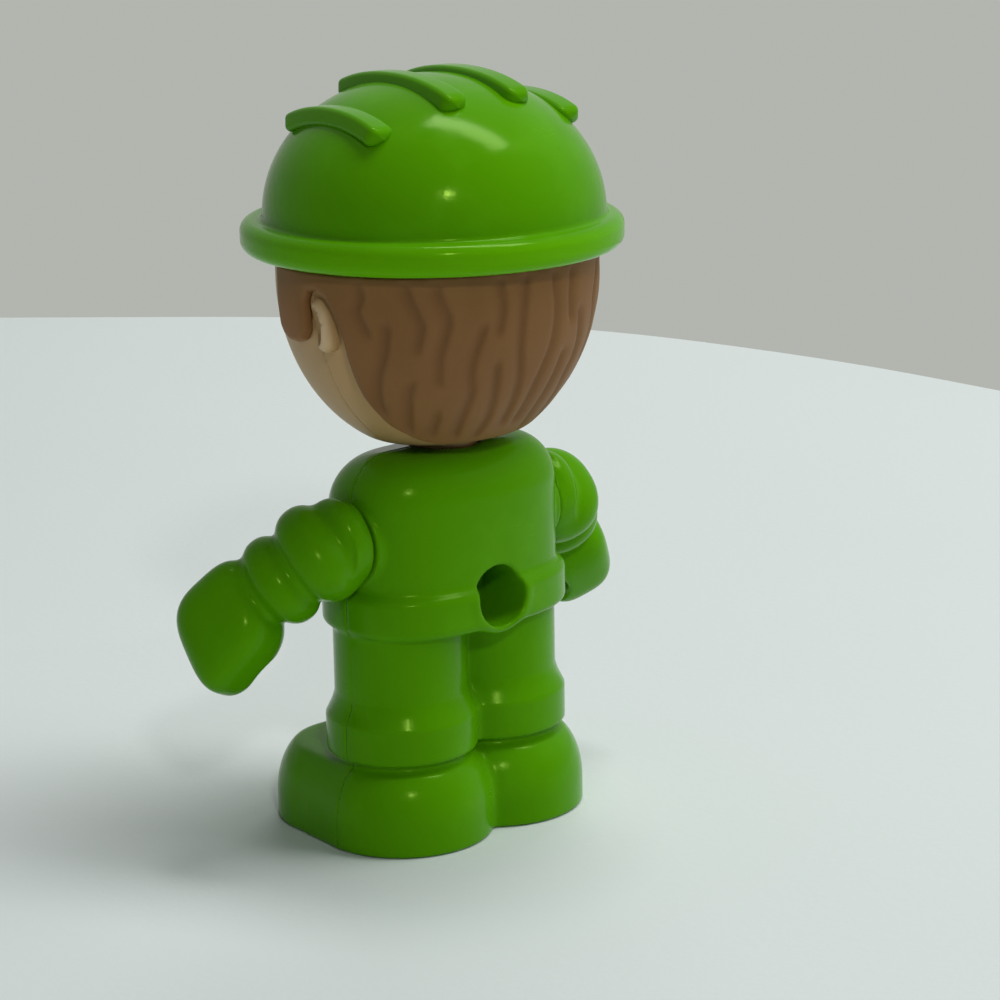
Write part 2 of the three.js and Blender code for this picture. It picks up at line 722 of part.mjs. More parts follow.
function armForm(side) {
  const splay = THREE.MathUtils.degToRad(SPLAY);
  const raise = THREE.MathUtils.degToRad(RAISE);
  const along = at(
    side * Math.sin(splay),
    -Math.cos(splay) * Math.sin(raise),
    -Math.cos(splay) * Math.cos(raise),
  );
  const palm = at(0, Math.cos(raise), -Math.sin(raise));
  const across = new THREE.Vector3().crossVectors(along, palm);
  const basis = [along, palm, across];
  const cap = egg(
    at(side * (armFace + CAP_OUT), SEAM, shoulderZ),
    [CAP_HALF, CAP_R, CAP_R],
    SQUARE_ON,
  );
  const start = at(side * (armFace + PUFF_OUT), SEAM - PUFF_AHEAD, shoulderZ - PUFF_LOW);
  const on = (distance) => start.clone().addScaledVector(along, distance);
  const puff = egg(start, [PUFF_HALF, PUFF_R, PUFF_R], basis);
  const ring = egg(on(RING_ON), [RING_HALF, RING_R, RING_R], basis);
  const bend = THREE.MathUtils.degToRad(HAND_BEND);
  const down = along.clone().multiplyScalar(Math.cos(bend)).addScaledVector(palm, Math.sin(bend));
  const inward = at(-side, 0, 0).addScaledVector(down, side * down.x).normalize();
  const handBasis = [down, inward, new THREE.Vector3().crossVectors(down, inward)];
  const handAt = on(HAND_ON).addScaledVector(palm, HAND_DOWN);
  const hand = egg(handAt, [HAND_HALF, HAND_WIDE, HAND_R], handBasis);
  const gripAt = handAt.clone().addScaledVector(inward, GRIP_IN);
  const grip = rod(
    gripAt.clone().addScaledVector(down, -HAND_HALF),
    gripAt.clone().addScaledVector(down, FAR),
    GRIP_R,
  );
  const mouth = new THREE.BoxGeometry(FAR, 2 * HAND_WIDE, GRIP_MOUTH);
  mouth.translate(FAR / 2 - HAND_HALF, HAND_WIDE, 0);
  mouth.applyMatrix4(new THREE.Matrix4().makeBasis(...handBasis));
  mouth.translate(gripAt.x, gripAt.y, gripAt.z);
  const pastHem = block(
    Math.min(side * sleeveFace, side * FAR),
    Math.max(side * sleeveFace, side * FAR),
    -FAR,
    FAR,
    -FAR,
    FAR * 2,
  );
  const seat = rod(at(side * armFace, SEAM, shoulderZ), at(side * FAR, SEAM, shoulderZ), seatR);
  const pegHole = rod(
    at(0, SEAM, shoulderZ),
    at(side * (armFace + PEG_TIP_LONG + FIT), SEAM, shoulderZ),
    PEG_TIP_R + FIT,
  );
  const sleeve = join(cap, puff, ring);
  const mitten = cut(hand, grip, solid(mouth));
  return cut(join(sleeve, mitten).intersect(join(pastHem, seat)), pegHole);
}

function pegForm(side) {
  const x = (distance) => at(side * distance, SEAM, shoulderZ);
  const flange = bearingIn - FIT;
  return join(
    rod(x(flange - FLANGE_THICK), x(flange), PEG_FLANGE_R),
    rod(x(flange - FLANGE_THICK), x(armFace - FIT), PEG_R),
    rod(x(flange - FLANGE_THICK), x(armFace + PEG_TIP_LONG), PEG_TIP_R),
  );
}

// Named pieces and their finishes

const GREEN = { color: 0x57a80a, roughness: 0.35, metalness: 0 };
const GREEN_BRIGHT = { color: 0x62b40f, roughness: 0.32, metalness: 0 };
const SKIN = { color: 0xe3bf98, roughness: 0.5, metalness: 0 };
const BROWN = { color: 0x5d4029, roughness: 0.55, metalness: 0 };
const IVORY = { color: 0xd9d4c4, roughness: 0.45, metalness: 0 };

const figure = new THREE.Group();
figure.name = "toy_worker_figure";

function place(name, form, finish) {
  const mesh = form.getMesh();
  const geometry = new THREE.BufferGeometry();
  geometry.setAttribute("position", new THREE.BufferAttribute(mesh.vertProperties, 3));
  geometry.setIndex(new THREE.BufferAttribute(mesh.triVerts, 1));
  geometry.computeVertexNormals();
  const piece = new THREE.Mesh(geometry, new THREE.MeshStandardMaterial(finish));
  piece.name = name;
  figure.add(piece);
}

place("body_front_shell", bodyFront, GREEN);
place("body_rear_shell", bodyRear, GREEN);
place("left_arm", armForm(1), GREEN);
place("right_arm", armForm(-1), GREEN);
place("left_shoulder_peg", pegForm(1), IVORY);
place("right_shoulder_peg", pegForm(-1), IVORY);
place("neck_spool", spool, SKIN);
place("face_shell", face, SKIN);
place("head_rear_shell", headRear, SKIN);
place("hair_cap", hair, BROWN);
place("helmet", helmet, GREEN_BRIGHT);

export default figure;
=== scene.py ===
# %% [markdown]
# # A toy worker figure
# A hand-sized moulded figure: a green jacket, trousers and shoes in one hollow body, two
# turning arms, a turning head with a brown hair cap, and a ribbed helmet. Every piece sits in
# the frame of the packed model, so nothing has to be fitted by eye. Shapes are reckoned in
# millimetres and become metres only when their mesh is made.

# %% Load the packed model
import math

import bpy
import numpy as np
from mathutils import Matrix, Vector


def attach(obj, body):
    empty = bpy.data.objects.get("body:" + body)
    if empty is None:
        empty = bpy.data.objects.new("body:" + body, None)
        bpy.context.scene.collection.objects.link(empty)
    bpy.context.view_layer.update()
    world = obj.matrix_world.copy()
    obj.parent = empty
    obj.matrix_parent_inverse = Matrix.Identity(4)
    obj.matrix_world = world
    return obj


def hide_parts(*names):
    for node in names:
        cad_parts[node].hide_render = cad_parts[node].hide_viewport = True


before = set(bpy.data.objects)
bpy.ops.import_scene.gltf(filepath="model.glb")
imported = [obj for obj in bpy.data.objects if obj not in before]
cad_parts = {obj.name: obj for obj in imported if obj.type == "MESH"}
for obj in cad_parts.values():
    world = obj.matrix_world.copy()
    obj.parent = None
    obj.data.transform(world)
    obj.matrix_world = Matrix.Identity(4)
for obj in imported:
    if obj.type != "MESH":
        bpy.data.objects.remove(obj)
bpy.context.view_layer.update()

# %% [markdown]
# ## Soft corners
# A moulded toy has no sharp inside corner: the sleeve puffs, the hem and the trouser cuffs all
# run into each other with a small fillet. Bevels and subdivision could give that one edge at a
# time. Here each form is a distance field instead, a function that is negative inside, and two
# fields are joined with a rounding radius. One number then sets the fillet.

# %% Joining, keeping and cutting fields


def soft_join(a, b, radius):
    """Union of two fields with a fillet in the inside corner."""
    mix = np.clip(0.5 + 0.5 * (b - a) / radius, 0, 1)
    return b + (a - b) * mix - radius * mix * (1 - mix)


def soft_keep(a, b, radius):
    """What lies in both fields, with a rounded outside edge."""
    return -soft_join(-a, -b, radius)


def soft_cut(a, b, radius):
    """The first field without the second, with a rounded rim."""
    return soft_keep(a, -b, radius)


print("fillet check:", round(float(soft_join(np.array(0.0), np.array(0.0), 0.4)), 3), "mm")

# %% [markdown]
# ## From a field to a skin
# The field is sampled on a grid. Every cell that the surface crosses gets one point, every grid
# edge that it crosses gets one face, and the points are then slid along the slope of the field
# until they lie on the surface. Metaballs or a voxel remesh would work in much the same way, but
# they leave the points a little off the surface. Here the faces point outwards and highlights
# run over them without facets. The mesh is closed where the grid reaches a full step past the
# form, because crossings in its outermost layer get no face.

# %% Slope of a field


def slope(field, points, reach=0.01):
    """Gradient of a field at points, from small steps each way."""
    columns = []
    for axis in range(3):
        step = np.zeros(3)
        step[axis] = reach
        columns.append(field(*(points + step).T) - field(*(points - step).T))
    return np.stack(columns, 1) / (2 * reach)


print("slope check:", slope(lambda x, y, z: x + 2 * y, np.zeros((1, 3))).round(3))

# %% One point for each crossed cell
EDGES = [
    (np.array(start), axis)
    for axis in range(3)
    for start in np.ndindex(2, 2, 2)
    if start[axis] == 0
]


def cell_points(value, cells):
    """Middle of the crossings on the edges of each cell, counted in cells."""
    place = np.zeros((len(cells), 3))
    crossings = np.zeros(len(cells))
    for start, axis in EDGES:
        end = start.copy()
        end[axis] = 1
        a = value[tuple((cells + start).T)]
        b = value[tuple((cells + end).T)]
        crossed = (a < 0) != (b < 0)
        part = np.where(crossed, a / np.where(crossed, a - b, 1), 0)
        spot = np.repeat(start[None, :].astype(float), len(cells), 0)
        spot[:, axis] = part
        place += spot * crossed[:, None]
        crossings += crossed
    return cells + place / crossings[:, None]


print("edges of a cell:", len(EDGES))

# %% One face for each crossed edge
STEPS = np.eye(3, dtype=int)


def cell_faces(inside, number):
    """Four-sided faces round the crossed edges of the grid, pointing outwards."""
    last = np.array(inside.shape) - 1
    faces = []
    for axis in range(3):
        u, v = STEPS[(axis + 1) % 3], STEPS[(axis + 2) % 3]
        cross = np.argwhere(inside != np.roll(inside, -1, axis))
        cross = cross[np.all((cross > 0) & (cross < last), axis=1)]
        around = np.stack(
            [number[tuple(c.T)] for c in (cross, cross - u, cross - u - v, cross - v)], 1
        )
        leaving = inside[tuple(cross.T)]
        faces.append(np.where(leaving[:, None], around, around[:, ::-1]))
    return np.concatenate(faces)


print("grid steps:", STEPS.tolist())

# %% Points slid onto the surface
SETTLE_PASSES = 3
LEAST_STEEP = 0.04


def settle(field, points, step):
    """Points moved along the slope, by half a grid step at most each time."""
    for _ in range(SETTLE_PASSES):
        grade = slope(field, points)
        steep = np.maximum((grade**2).sum(1), LEAST_STEEP)
        move = -(field(*points.T) / steep)[:, None] * grade
        far = np.maximum(np.linalg.norm(move, axis=1) / (0.5 * step), 1)
        points = points + move / far[:, None]
    return points


print("passes onto the surface:", SETTLE_PASSES)

# %% The whole skin, and a piece made of it
MM = 0.001


def skin(field, low, high, step):
    """Points in mm and four-sided faces of the surface of a field."""
    low = np.array(low, float)
    count = np.ceil((np.array(high) - low) / step).astype(int) + 1
    axes = [low[k] + step * np.arange(count[k]) for k in range(3)]
    value = field(*np.meshgrid(*axes, indexing="ij"))
    inside = value < 0
    corners = sum(
        inside[i : count[0] - 1 + i, j : count[1] - 1 + j, k : count[2] - 1 + k].astype(np.int8)
        for i, j, k in np.ndindex(2, 2, 2)
    )
    cells = np.argwhere((corners > 0) & (corners < 8))
    number = np.full(count - 1, -1)
    number[tuple(cells.T)] = np.arange(len(cells))
    points = low + step * cell_points(value, cells)
    return settle(field, points, step), cell_faces(inside, number)


def piece(name, points, faces):
    """A smooth-shaded object at the origin, from points in mm."""
    mesh = bpy.data.meshes.new(name)
    mesh.from_pydata((points * MM).tolist(), [], faces.tolist())
    mesh.shade_smooth()
    made = bpy.data.objects.new(name, mesh)
    bpy.context.scene.collection.objects.link(made)
    print(f"{name}: {2 * len(faces)} triangles")
    return made


ball = skin(lambda x, y, z: np.sqrt(x * x + y * y + z * z) - 1, [-2] * 3, [2] * 3, 0.5)
print("faces of a small ball:", len(ball[1]))

# %% [markdown]
# ## Simple forms
# Three kinds of field are enough for the figure: an egg turned by three axes, a round bar, and
# a flat outline carried up to a height with rounded edges, as for a hem band. Blender's own
# spheres and cylinders have the same shapes, but could not be joined with a fillet.

# %% Egg, bar and slab
CENTRE = 0.05


def turned(x, y, z, centre, axes):
    """Coordinates along three axes from a centre."""
    rest = (x - centre[0], y - centre[1], z - centre[2])
    return [sum(r * a for r, a in zip(rest, axis)) for axis in axes]


def radial(reach, ratio, core):
    """Distance along a ray from the centre; the ratio is 1 on the surface."""
    return np.where(ratio > CENTRE, reach - reach / np.maximum(ratio, CENTRE), -core)


def egg(x, y, z, centre, half, axes=np.eye(3), full=2.0):
    """Egg with three half axes; a fullness over 2 squares it up."""
    along = turned(x, y, z, centre, axes)
    ratio = sum((np.abs(a) / h) ** full for a, h in zip(along, half)) ** (1 / full)
    return radial(np.sqrt(sum(a * a for a in along)), ratio, min(half))


def bar(across, up, radius):
    """Endless round bar, from two distances to its axis."""
    return np.hypot(across, up) - radius


def slab(outline, height, low, high, radius):
    """A flat outline between two heights, with its edges rounded."""
    side = outline + radius
    top = np.maximum(low - height, height - high) + radius
    corner = np.hypot(np.maximum(side, 0), np.maximum(top, 0))
    return np.minimum(np.maximum(side, top), 0) + corner - radius


print("egg check:", round(float(egg(0.0, 0.0, 3.0, (0, 0, 0), (1, 1, 2))), 2), "mm outside")

# %% [markdown]
# ## Jacket, trousers and shoes
# The body is one moulding, parted across the shoulders into a front and a rear shell. The
# torso is a squared ellipse with round shoulders, the hem a slightly prouder band, the legs two
# round bars with flared cuffs, and each shoe a heel circle carried forward to a toe circle with
# a flattened top. The front of the jacket has a placket and two pocket flaps in low relief. Box
# modelling would need edge loops round every one of these creases. As fields they are a few
# lines each, and both shells are cut from the same form, so they meet at the parting.

# %% Torso and hem
SEAM = 1.0
TORSO = (12.8, 9.2, 8.2)  # half width, then depth to the front and to the rear
TORSO_FULL, TORSO_CORE = 2.5, 8.0
SHOULDER_ROUND = 5.2
HEM = (22.8, 27.2)
HEM_PROUD, HEM_EDGE = 0.9, 0.8
COLLAR, CHEST_DROP = 41.3, 1.6


def torso_outline(x, y, proud):
    """Distance from the squared ellipse of the torso in plan."""
    half, front, rear = (size + proud for size in TORSO)
    deep = np.where(y > SEAM, rear, front)
    ratio = np.abs(x / half) ** TORSO_FULL + np.abs((y - SEAM) / deep) ** TORSO_FULL
    return radial(np.hypot(x, y - SEAM), ratio ** (1 / TORSO_FULL), TORSO_CORE)


def torso(x, y, z, proud=0.0):
    """The jacket without its hem, lower over the chest than over the back."""
    lean = CHEST_DROP * np.clip((SEAM - y) / TORSO[1], 0, 1)
    outline = torso_outline(x, y, proud)
    return slab(outline, z + lean, HEM[0], COLLAR + proud, SHOULDER_ROUND)


print("hem half width:", round(TORSO[0] + HEM_PROUD, 2), "mm")

# %% Placket and pocket flaps
TRIM_Z, TRIM_THICK, TRIM_BACK = 31.0, 0.5, 3
PLACKET = (1.7, 6.2)  # half width and half height
FLAP = (6.2, 2.5, 1.8)  # place, half width and half height
FLAP_SLANT = 0.12


def front_trim(x, y, z):
    """A thin layer over the chest, where the placket or a flap is."""
    up = z - TRIM_Z
    placket = np.maximum(np.abs(x) - PLACKET[0], np.abs(up) - PLACKET[1])
    wide = np.abs(np.abs(x) - FLAP[0]) - FLAP[1]
    flap = np.maximum(wide, np.abs(up + FLAP_SLANT * wide) - FLAP[2])
    plan = np.maximum(np.minimum(placket, flap), y - SEAM + TRIM_BACK)
    return soft_keep(torso(x, y, z, TRIM_THICK), plan, 0.4)


print("trim stands", TRIM_THICK, "mm proud of the chest")

# %% Legs, cuffs and shoes
LEG = (6.3, SEAM - 0.4, 7.0)  # place across, place in depth, radius
CUFF = (9.3, 15.4)
FLARE = ([9.3, 13.1, 15.5], [LEG[2] + 1.0, LEG[2] + 1.0, LEG[2] - 0.2])  # heights, radii
SHOE_X, HEEL_R, TOE_AHEAD, TOE_TAPER = 6.5, 9.4, 7.6, 0.6
SOLE, CROWN_IN, CROWN_UP, TOE_TOP = 2.6, 3.6, 6.2, 8.3


def leg(x, y, z):
    across = np.hypot(np.abs(x) - LEG[0], y - LEG[1])
    tube = slab(across - LEG[2], z, SOLE, HEM[1], 0.2)
    cuff = slab(across - np.interp(z, *FLARE), z, *CUFF, 0.3)
    return soft_join(tube, cuff, 0.5)


def shoe(x, y, z):
    """Upright sides, then a crown that rounds over to a flat top."""
    ahead = np.clip((SEAM - y) / TOE_AHEAD, 0, 1)
    reach = np.hypot(np.abs(x) - SHOE_X, y - SEAM + TOE_AHEAD * ahead)
    plan = reach - HEEL_R + TOE_TAPER * ahead
    inner = np.maximum(plan + CROWN_IN, 0) / CROWN_IN
    crown = np.hypot(inner, np.maximum(z - SOLE, 0) / CROWN_UP)
    return soft_keep(CROWN_IN * (crown - 1), z - TOE_TOP, 0.25)


print("shoe length:", round(2 * HEEL_R + TOE_AHEAD - TOE_TAPER, 1), "mm")

# %% The clothes as one form
INSEAM = 0.8


def both_sides(form, x, y, z, radius):
    """A form and its mirror image, with the crease between them kept soft."""
    over = np.abs(x) / radius
    return form(x, y, z) - 0.25 * radius * np.maximum(1 - over, 0) ** 2


def clothes(x, y, z):
    legs, shoes = (both_sides(form, x, y, z, INSEAM) for form in (leg, shoe))
    lower = soft_keep(soft_join(legs, shoes, 0.8), -z, 0.35)
    hem = slab(torso_outline(x, y, HEM_PROUD), z, *HEM, HEM_EDGE)
    upper = soft_join(torso(x, y, z), hem, 0.9)
    upper = soft_join(upper, front_trim(x, y, z), 0.3)
    return soft_join(upper, lower, 0.4)


print("field at the middle of the chest:", round(float(clothes(0.0, 0.0, 33.0)), 2), "mm")

# %% Bores and the socket in the back
NECK_R, NECK_GROOVE_R = 3.9, 5.5
NECK_END, NECK_GROOVE_Z = 36.0, 37.5
SHOULDER_Z, SHOULDER_END = 32.4, 6.0
SHOULDER_R, SHOULDER_GROOVE_R, SHOULDER_GROOVE_X = 2.9, 4.4, 7.6
GROOVE_HALF = 1.2
SOCKET_Z, SOCKET_R, SOCKET_END = 26.0, 3.2, SEAM + 2.0
LIP_R, LIP = 3.95, (SEAM + 0.6, SEAM + 8.8)
PAD_R, PAD = 4.3, (8.0, 12.75)


def bored(x, y, z):
    """The body with its bearings, a flat pad behind each sleeve and the round socket."""
    out, pin = np.abs(x), np.hypot(y - SEAM, z - SHOULDER_Z)
    neck = np.maximum(bar(x, y - SEAM, NECK_R), NECK_END - z)
    flange = np.maximum(bar(x, y - SEAM, NECK_GROOVE_R), np.abs(z - NECK_GROOVE_Z) - GROOVE_HALF)
    shoulder = np.maximum(pin - SHOULDER_R, SHOULDER_END - out)
    disc = np.maximum(pin - SHOULDER_GROOVE_R, np.abs(out - SHOULDER_GROOVE_X) - GROOVE_HALF)
    socket = np.maximum(bar(x, z - SOCKET_Z, SOCKET_R), SOCKET_END - y)
    lip = np.maximum(slab(bar(x, z - SOCKET_Z, LIP_R), y, *LIP, 0.4), z - SOCKET_Z)
    whole = soft_join(clothes(x, y, z), slab(pin - PAD_R, out, *PAD, 0.2), 0.4)
    whole = soft_cut(soft_join(whole, lip, 0.8), socket, 0.3)
    inside = np.minimum(np.minimum(neck, flange), np.minimum(shoulder, disc))
    return soft_cut(whole, inside, 0.1)


print("socket:", 2 * SOCKET_R, "mm wide at", SOCKET_Z, "mm")

# %% The two body shells
PARTING = 0.06
LINE = -0.05


def front_shell(x, y, z):
    return soft_keep(bored(x, y, z), y - SEAM + LINE, PARTING)


def rear_shell(x, y, z):
    return soft_keep(bored(x, y, z), SEAM + LINE - y, PARTING)


body_front = piece(
    "jacket_front", *skin(front_shell, (-16.4, -16, -0.4), (16.4, SEAM + 0.5, 42), 0.3)
)
body_rear = piece(
    "jacket_rear", *skin(rear_shell, (-16.4, SEAM - 0.5, -0.4), (16.4, 10.9, 42), 0.28)
)

# %% [markdown]
# ## Arms
# Each arm is a chain of puffs: a shoulder cap, a sleeve puff and a wrist ring, and then a broad
# mitten with a C-shaped grip through it. The puffs could be spheres under a Remesh modifier,
# but the creases between them would blur. Here they are eggs on one slanted axis, joined with
# small fillets so that the creases stay. The mitten is a squarer egg, tilted and tapered on
# axes of its own, and the grip is a leaning bore with a slot to the outside.

# %% Arm axes
SPLAY, RAISE, BEND, TILT = (math.radians(a) for a in (35, 44, 56, 10))


def arm_axes(side):
    """Axes of the sleeve, of the mitten, and of the grip through it."""
    along = np.array(
        [
            side * math.sin(SPLAY),
            -math.cos(SPLAY) * math.sin(RAISE),
            -math.cos(SPLAY) * math.cos(RAISE),
        ]
    )
    palm = np.array([0, math.cos(RAISE), -math.sin(RAISE)])
    edge = np.cross(along, palm)
    reach = along * math.cos(TILT) + palm * math.sin(TILT)
    broad = palm * math.cos(TILT) - along * math.sin(TILT)
    down = along * math.cos(BEND) + palm * math.sin(BEND)
    inward = np.array([-side, 0, 0]) + down * side * down[0]
    inward /= np.linalg.norm(inward)
    return (along, palm, edge), (reach, broad, edge), (down, inward, np.cross(down, inward))


print("left sleeve runs along", arm_axes(1)[0][0].round(2))

# %% The mitten
MITTEN, MITTEN_FULL = (5.2, 5.3, 4.6), 3.2
MITTEN_SLANT, MITTEN_TAPER, TAPER_RUN = 0.28, 0.06, 5
GRIP_R, GRIP_SLOT = 2.2, 1.6
GRIP_IN, GRIP_LEAN, GRIP_RUN = 1.5, 4.5, 8


def mitten(at_fist, at_grip):
    """A squared egg with its grip, from coordinates at the fist and at the grip."""
    ahead, wide, deep = at_fist
    ahead = ahead - MITTEN_SLANT * wide
    wide = wide * (1 - MITTEN_TAPER * np.clip(ahead / TAPER_RUN, -1, 1))
    hand = egg(ahead, wide, deep, (0, 0, 0), MITTEN, full=MITTEN_FULL)
    along, inward, across = at_grip
    lean = inward - GRIP_IN - GRIP_LEAN * np.clip((along + 1) / GRIP_RUN, 0, 1)
    slot = np.maximum(np.abs(across) - GRIP_SLOT, -lean)
    return soft_cut(hand, soft_join(bar(lean, across, GRIP_R), slot, 0.4), 0.5)


print("grip bore:", 2 * GRIP_R, "mm")

# %% The arm field
ARM_FACE, SLEEVE_FACE = 13.3, 14.0
CAP, PUFF, RING, PUFF_FULL = (2.7, 4.2, 4.9), (3.4, 5.4, 4.8), (3.0, 4.9, 4.7), 2.2
ROOT_R, ROOT_LONG = 4.0, 2
SEAT_R, SEAT_FACE = 4.8, 12.95
PEG_R, PEG_DEEP = 2.4, 3.7


def arm(side):
    """Field of one arm; the side is 1 for the left and -1 for the right."""
    sleeve, block, grip = arm_axes(side)
    start = np.array([side * (ARM_FACE + 3.2), SEAM - 1.7, SHOULDER_Z - 0.2])
    cap_at = (side * (ARM_FACE + 1.1), SEAM - 0.3, SHOULDER_Z + 0.2)
    puff_at, ring_at, fist_at, grip_at = (
        start + along * sleeve[0] + palm * sleeve[1]
        for along, palm in ((-0.3, 0.6), (4.4, 0.6), (11.5, 1.5), (11.9, 1.2))
    )

    def field(x, y, z):
        out, pin = side * x, np.hypot(y - SEAM, z - SHOULDER_Z)
        cap = egg(x, y, z, cap_at, CAP, full=PUFF_FULL)
        puff = egg(x, y, z, puff_at, PUFF, sleeve, PUFF_FULL)
        ring = egg(x, y, z, ring_at, RING, sleeve, PUFF_FULL)
        root = np.maximum(pin - ROOT_R, out - ARM_FACE - ROOT_LONG)
        chain = soft_join(soft_join(soft_join(cap, root, 0.3), puff, 0.7), ring, 1.1)
        hand = mitten(turned(x, y, z, fist_at, block), turned(x, y, z, grip_at, grip))
        whole = soft_join(chain, hand, 1.3)
        room = np.minimum(SLEEVE_FACE - out, np.maximum(pin - SEAT_R, SEAT_FACE - out))
        peg = np.maximum(pin - PEG_R, out - ARM_FACE - PEG_DEEP)
        return soft_cut(soft_keep(whole, room, 0.35), peg, 0.1)

    return field


print("gap between pad and sleeve:", round(SEAT_FACE - PAD[1], 2), "mm")

# %% Both arms
# The left box starts less than a step from the seat, so the inner end of that sleeve is open.
ARM_LOW, ARM_HIGH = np.array([12.8, -16.0, 13.0]), np.array([29.5, 8.0, 39.5])
arms = {}
for word, side in (("left", 1), ("right", -1)):
    ends = np.sort([side * ARM_LOW[0], side * ARM_HIGH[0]])
    low = (ends[0], *ARM_LOW[1:])
    high = (ends[1], *ARM_HIGH[1:])
    arms[word] = piece(f"{word}_sleeve", *skin(arm(side), low, high, 0.25))

# %% [markdown]
# ## Head
# The head is a plain rounded bowl, flatter at the back than at the front, in two halves that
# part on the same plane as the body. The ears belong to the rear half: each is an egg that
# leans forward at the top, hollowed so that a C-shaped rim is left. A small round nose is added
# to the front, and the rest of the face is printed on in the material. A sculpted sphere could
# look the same, but the hair has to fit over this bowl, and a formula can be grown by its
# thickness.

# %% The bowl
HEAD_R, HEAD_REAR, HEAD_Y = 16.5, 14.9, 0.4
HEAD_WIDE, HEAD_DROP, HEAD_BASE, HEAD_TOP = 59.0, 18.8, 41.6, 61.0
CHIN_BACK = 0.9
SKULL, SKULL_BASE = (14.6, 14.6, 15), 55
HEAD_BORE_END, HEAD_GROOVE_Z = 44.0, 44.6


def bowl(x, y, z, grow):
    """The lower head, grown by a thickness."""
    wide = HEAD_R + grow
    low = np.maximum(HEAD_WIDE - z, 0) / (HEAD_DROP + grow)
    deep = y - HEAD_Y + CHIN_BACK * low**2
    deep = np.where(deep > 0, deep * wide / (HEAD_REAR + grow), deep)
    return wide * (np.sqrt((x**2 + deep**2) / wide**2 + low**2) - 1)


def head(x, y, z):
    """Bowl and skull, with the bearing of the neck."""
    lower = soft_keep(bowl(x, y, z, 0), z - HEAD_TOP, 0.5)
    skull = np.maximum(egg(x, y, z, (0, HEAD_Y, HEAD_WIDE), SKULL), SKULL_BASE - z)
    whole = soft_keep(np.minimum(lower, skull), HEAD_BASE - z, 0.8)
    neck = np.maximum(bar(x, y - SEAM, NECK_R), z - HEAD_BORE_END)
    flange = np.maximum(bar(x, y - SEAM, NECK_GROOVE_R), np.abs(z - HEAD_GROOVE_Z) - GROOVE_HALF)
    return soft_cut(whole, np.minimum(neck, flange), 0.1)


print("head width:", 2 * HEAD_R, "mm")

# %% Ears and nose
EAR_LEAN = math.radians(17)
EAR_AT, EAR = (16.3, 2.3, 56.0), (1.5, 1.45, 2.8)
EAR_AXES = (
    np.array([1.0, 0, 0]),
    np.array([0, math.cos(EAR_LEAN), math.sin(EAR_LEAN)]),
    np.array([0, -math.sin(EAR_LEAN), math.cos(EAR_LEAN)]),
)
DISH = (1.6, 1.3, 2.1)
DISH_AT = np.array(EAR_AT) + 1.4 * EAR_AXES[0] - 0.6 * EAR_AXES[1] + 0.15 * EAR_AXES[2]
NOSE_AT, NOSE = (0, -14.6, 52.3), (1.5, 1.5, 1.4)


def ear(x, y, z):
    lobe = egg(np.abs(x), y, z, EAR_AT, EAR, EAR_AXES, 2.2)
    dish = egg(np.abs(x), y, z, DISH_AT, DISH, EAR_AXES)
    return soft_cut(lobe, dish, 0.3)


print("ear height:", 2 * EAR[2], "mm")

# %% The two halves of the head


def face_half(x, y, z):
    front = soft_keep(head(x, y, z), y - SEAM + LINE, PARTING)
    return soft_join(front, egg(x, y, z, NOSE_AT, NOSE), 0.8)


def rear_half(x, y, z):
    rear = soft_keep(head(x, y, z), SEAM + LINE - y, PARTING)
    return soft_join(rear, ear(x, y, z), 0.4)


face = piece("face", *skin(face_half, (-17, -17.5, 41), (17, SEAM + 0.5, 74.5), 0.33))
head_rear = piece("head_rear", *skin(rear_half, (-18.4, 0.2, 41), (18.4, 16, 74.5), 0.27))

# %% [markdown]
# ## Neck
# A flanged spool that both the collar and the head turn on. Only its stem shows, in the gap
# over the chest. A Screw modifier could turn it from an outline. As a field it gets its fillets
# in the same way as the rest.

# %% Neck spool
STEM_R, STEM = 3.6, (36.8, 45.3)
FLANGE_R, LOWER_FLANGE, UPPER_FLANGE = 5.2, (36.7, 38.2), (43.9, 45.4)


def spool(x, y, z):
    out = np.hypot(x, y - SEAM)
    stem = slab(out - STEM_R, z, *STEM, 0.2)
    lower = slab(out - FLANGE_R, z, *LOWER_FLANGE, 0.3)
    upper = slab(out - FLANGE_R, z, *UPPER_FLANGE, 0.3)
    return soft_join(stem, np.minimum(lower, upper), 0.3)


neck = piece("neck", *skin(spool, (-5.7, -4.7, 36.3), (5.7, 6.7, 45.8), 0.22))

# %% [markdown]
# ## Hair
# The hair is a thick cap that stands proud of the skin and ends in a clean step: round the ear,
# down to a sideburn in front of it, and along a slanting line to the nape. Its locks are wavy
# grooves, some from the brim to mid height, others from mid height to the nape. Strands would
# look wrong on a moulded toy, so the grooves are drawn as lines of angle and height on the head
# and pressed into the cap.

# %% Groove lines
GROOVES = [
    [(23, 60.9), (24, 59.2), (22, 58.0), (24, 56.8), (26, 55.2)],
    [(32, 57.0), (32.4, 56.0), (31, 53.6), (27.3, 51.1), (25.1, 48.2), (26, 46.5)],
    [(39, 60.9), (40, 59.6), (42.2, 58.2), (44.5, 56.5), (43.5, 55.4), (42, 53.6)],
    [(40, 50.8), (38, 49.4), (37, 47.7), (35, 45.4), (35, 44.4)],
    [(50, 60.9), (50, 59.8), (52, 58.4), (54, 57.1), (52, 55.1), (50, 53.1), (50, 50.0)],
    [(49, 47.2), (48, 45.8), (45, 44.0)],
    [(67, 56.5), (66, 55.4), (63, 53.1), (62, 51.0), (64, 49.2), (62, 47.5), (58, 43.4)],
    [(73, 61.0), (74, 58.0), (73, 56.0), (72, 55.0)],
    [(73, 52.4), (74, 49.0), (75, 46.4), (74, 44.8), (71, 43.1)],
    [(84, 61.0), (82, 56.7), (82, 53.4), (85, 50.2), (86, 48.0), (86, 44.4)],
]
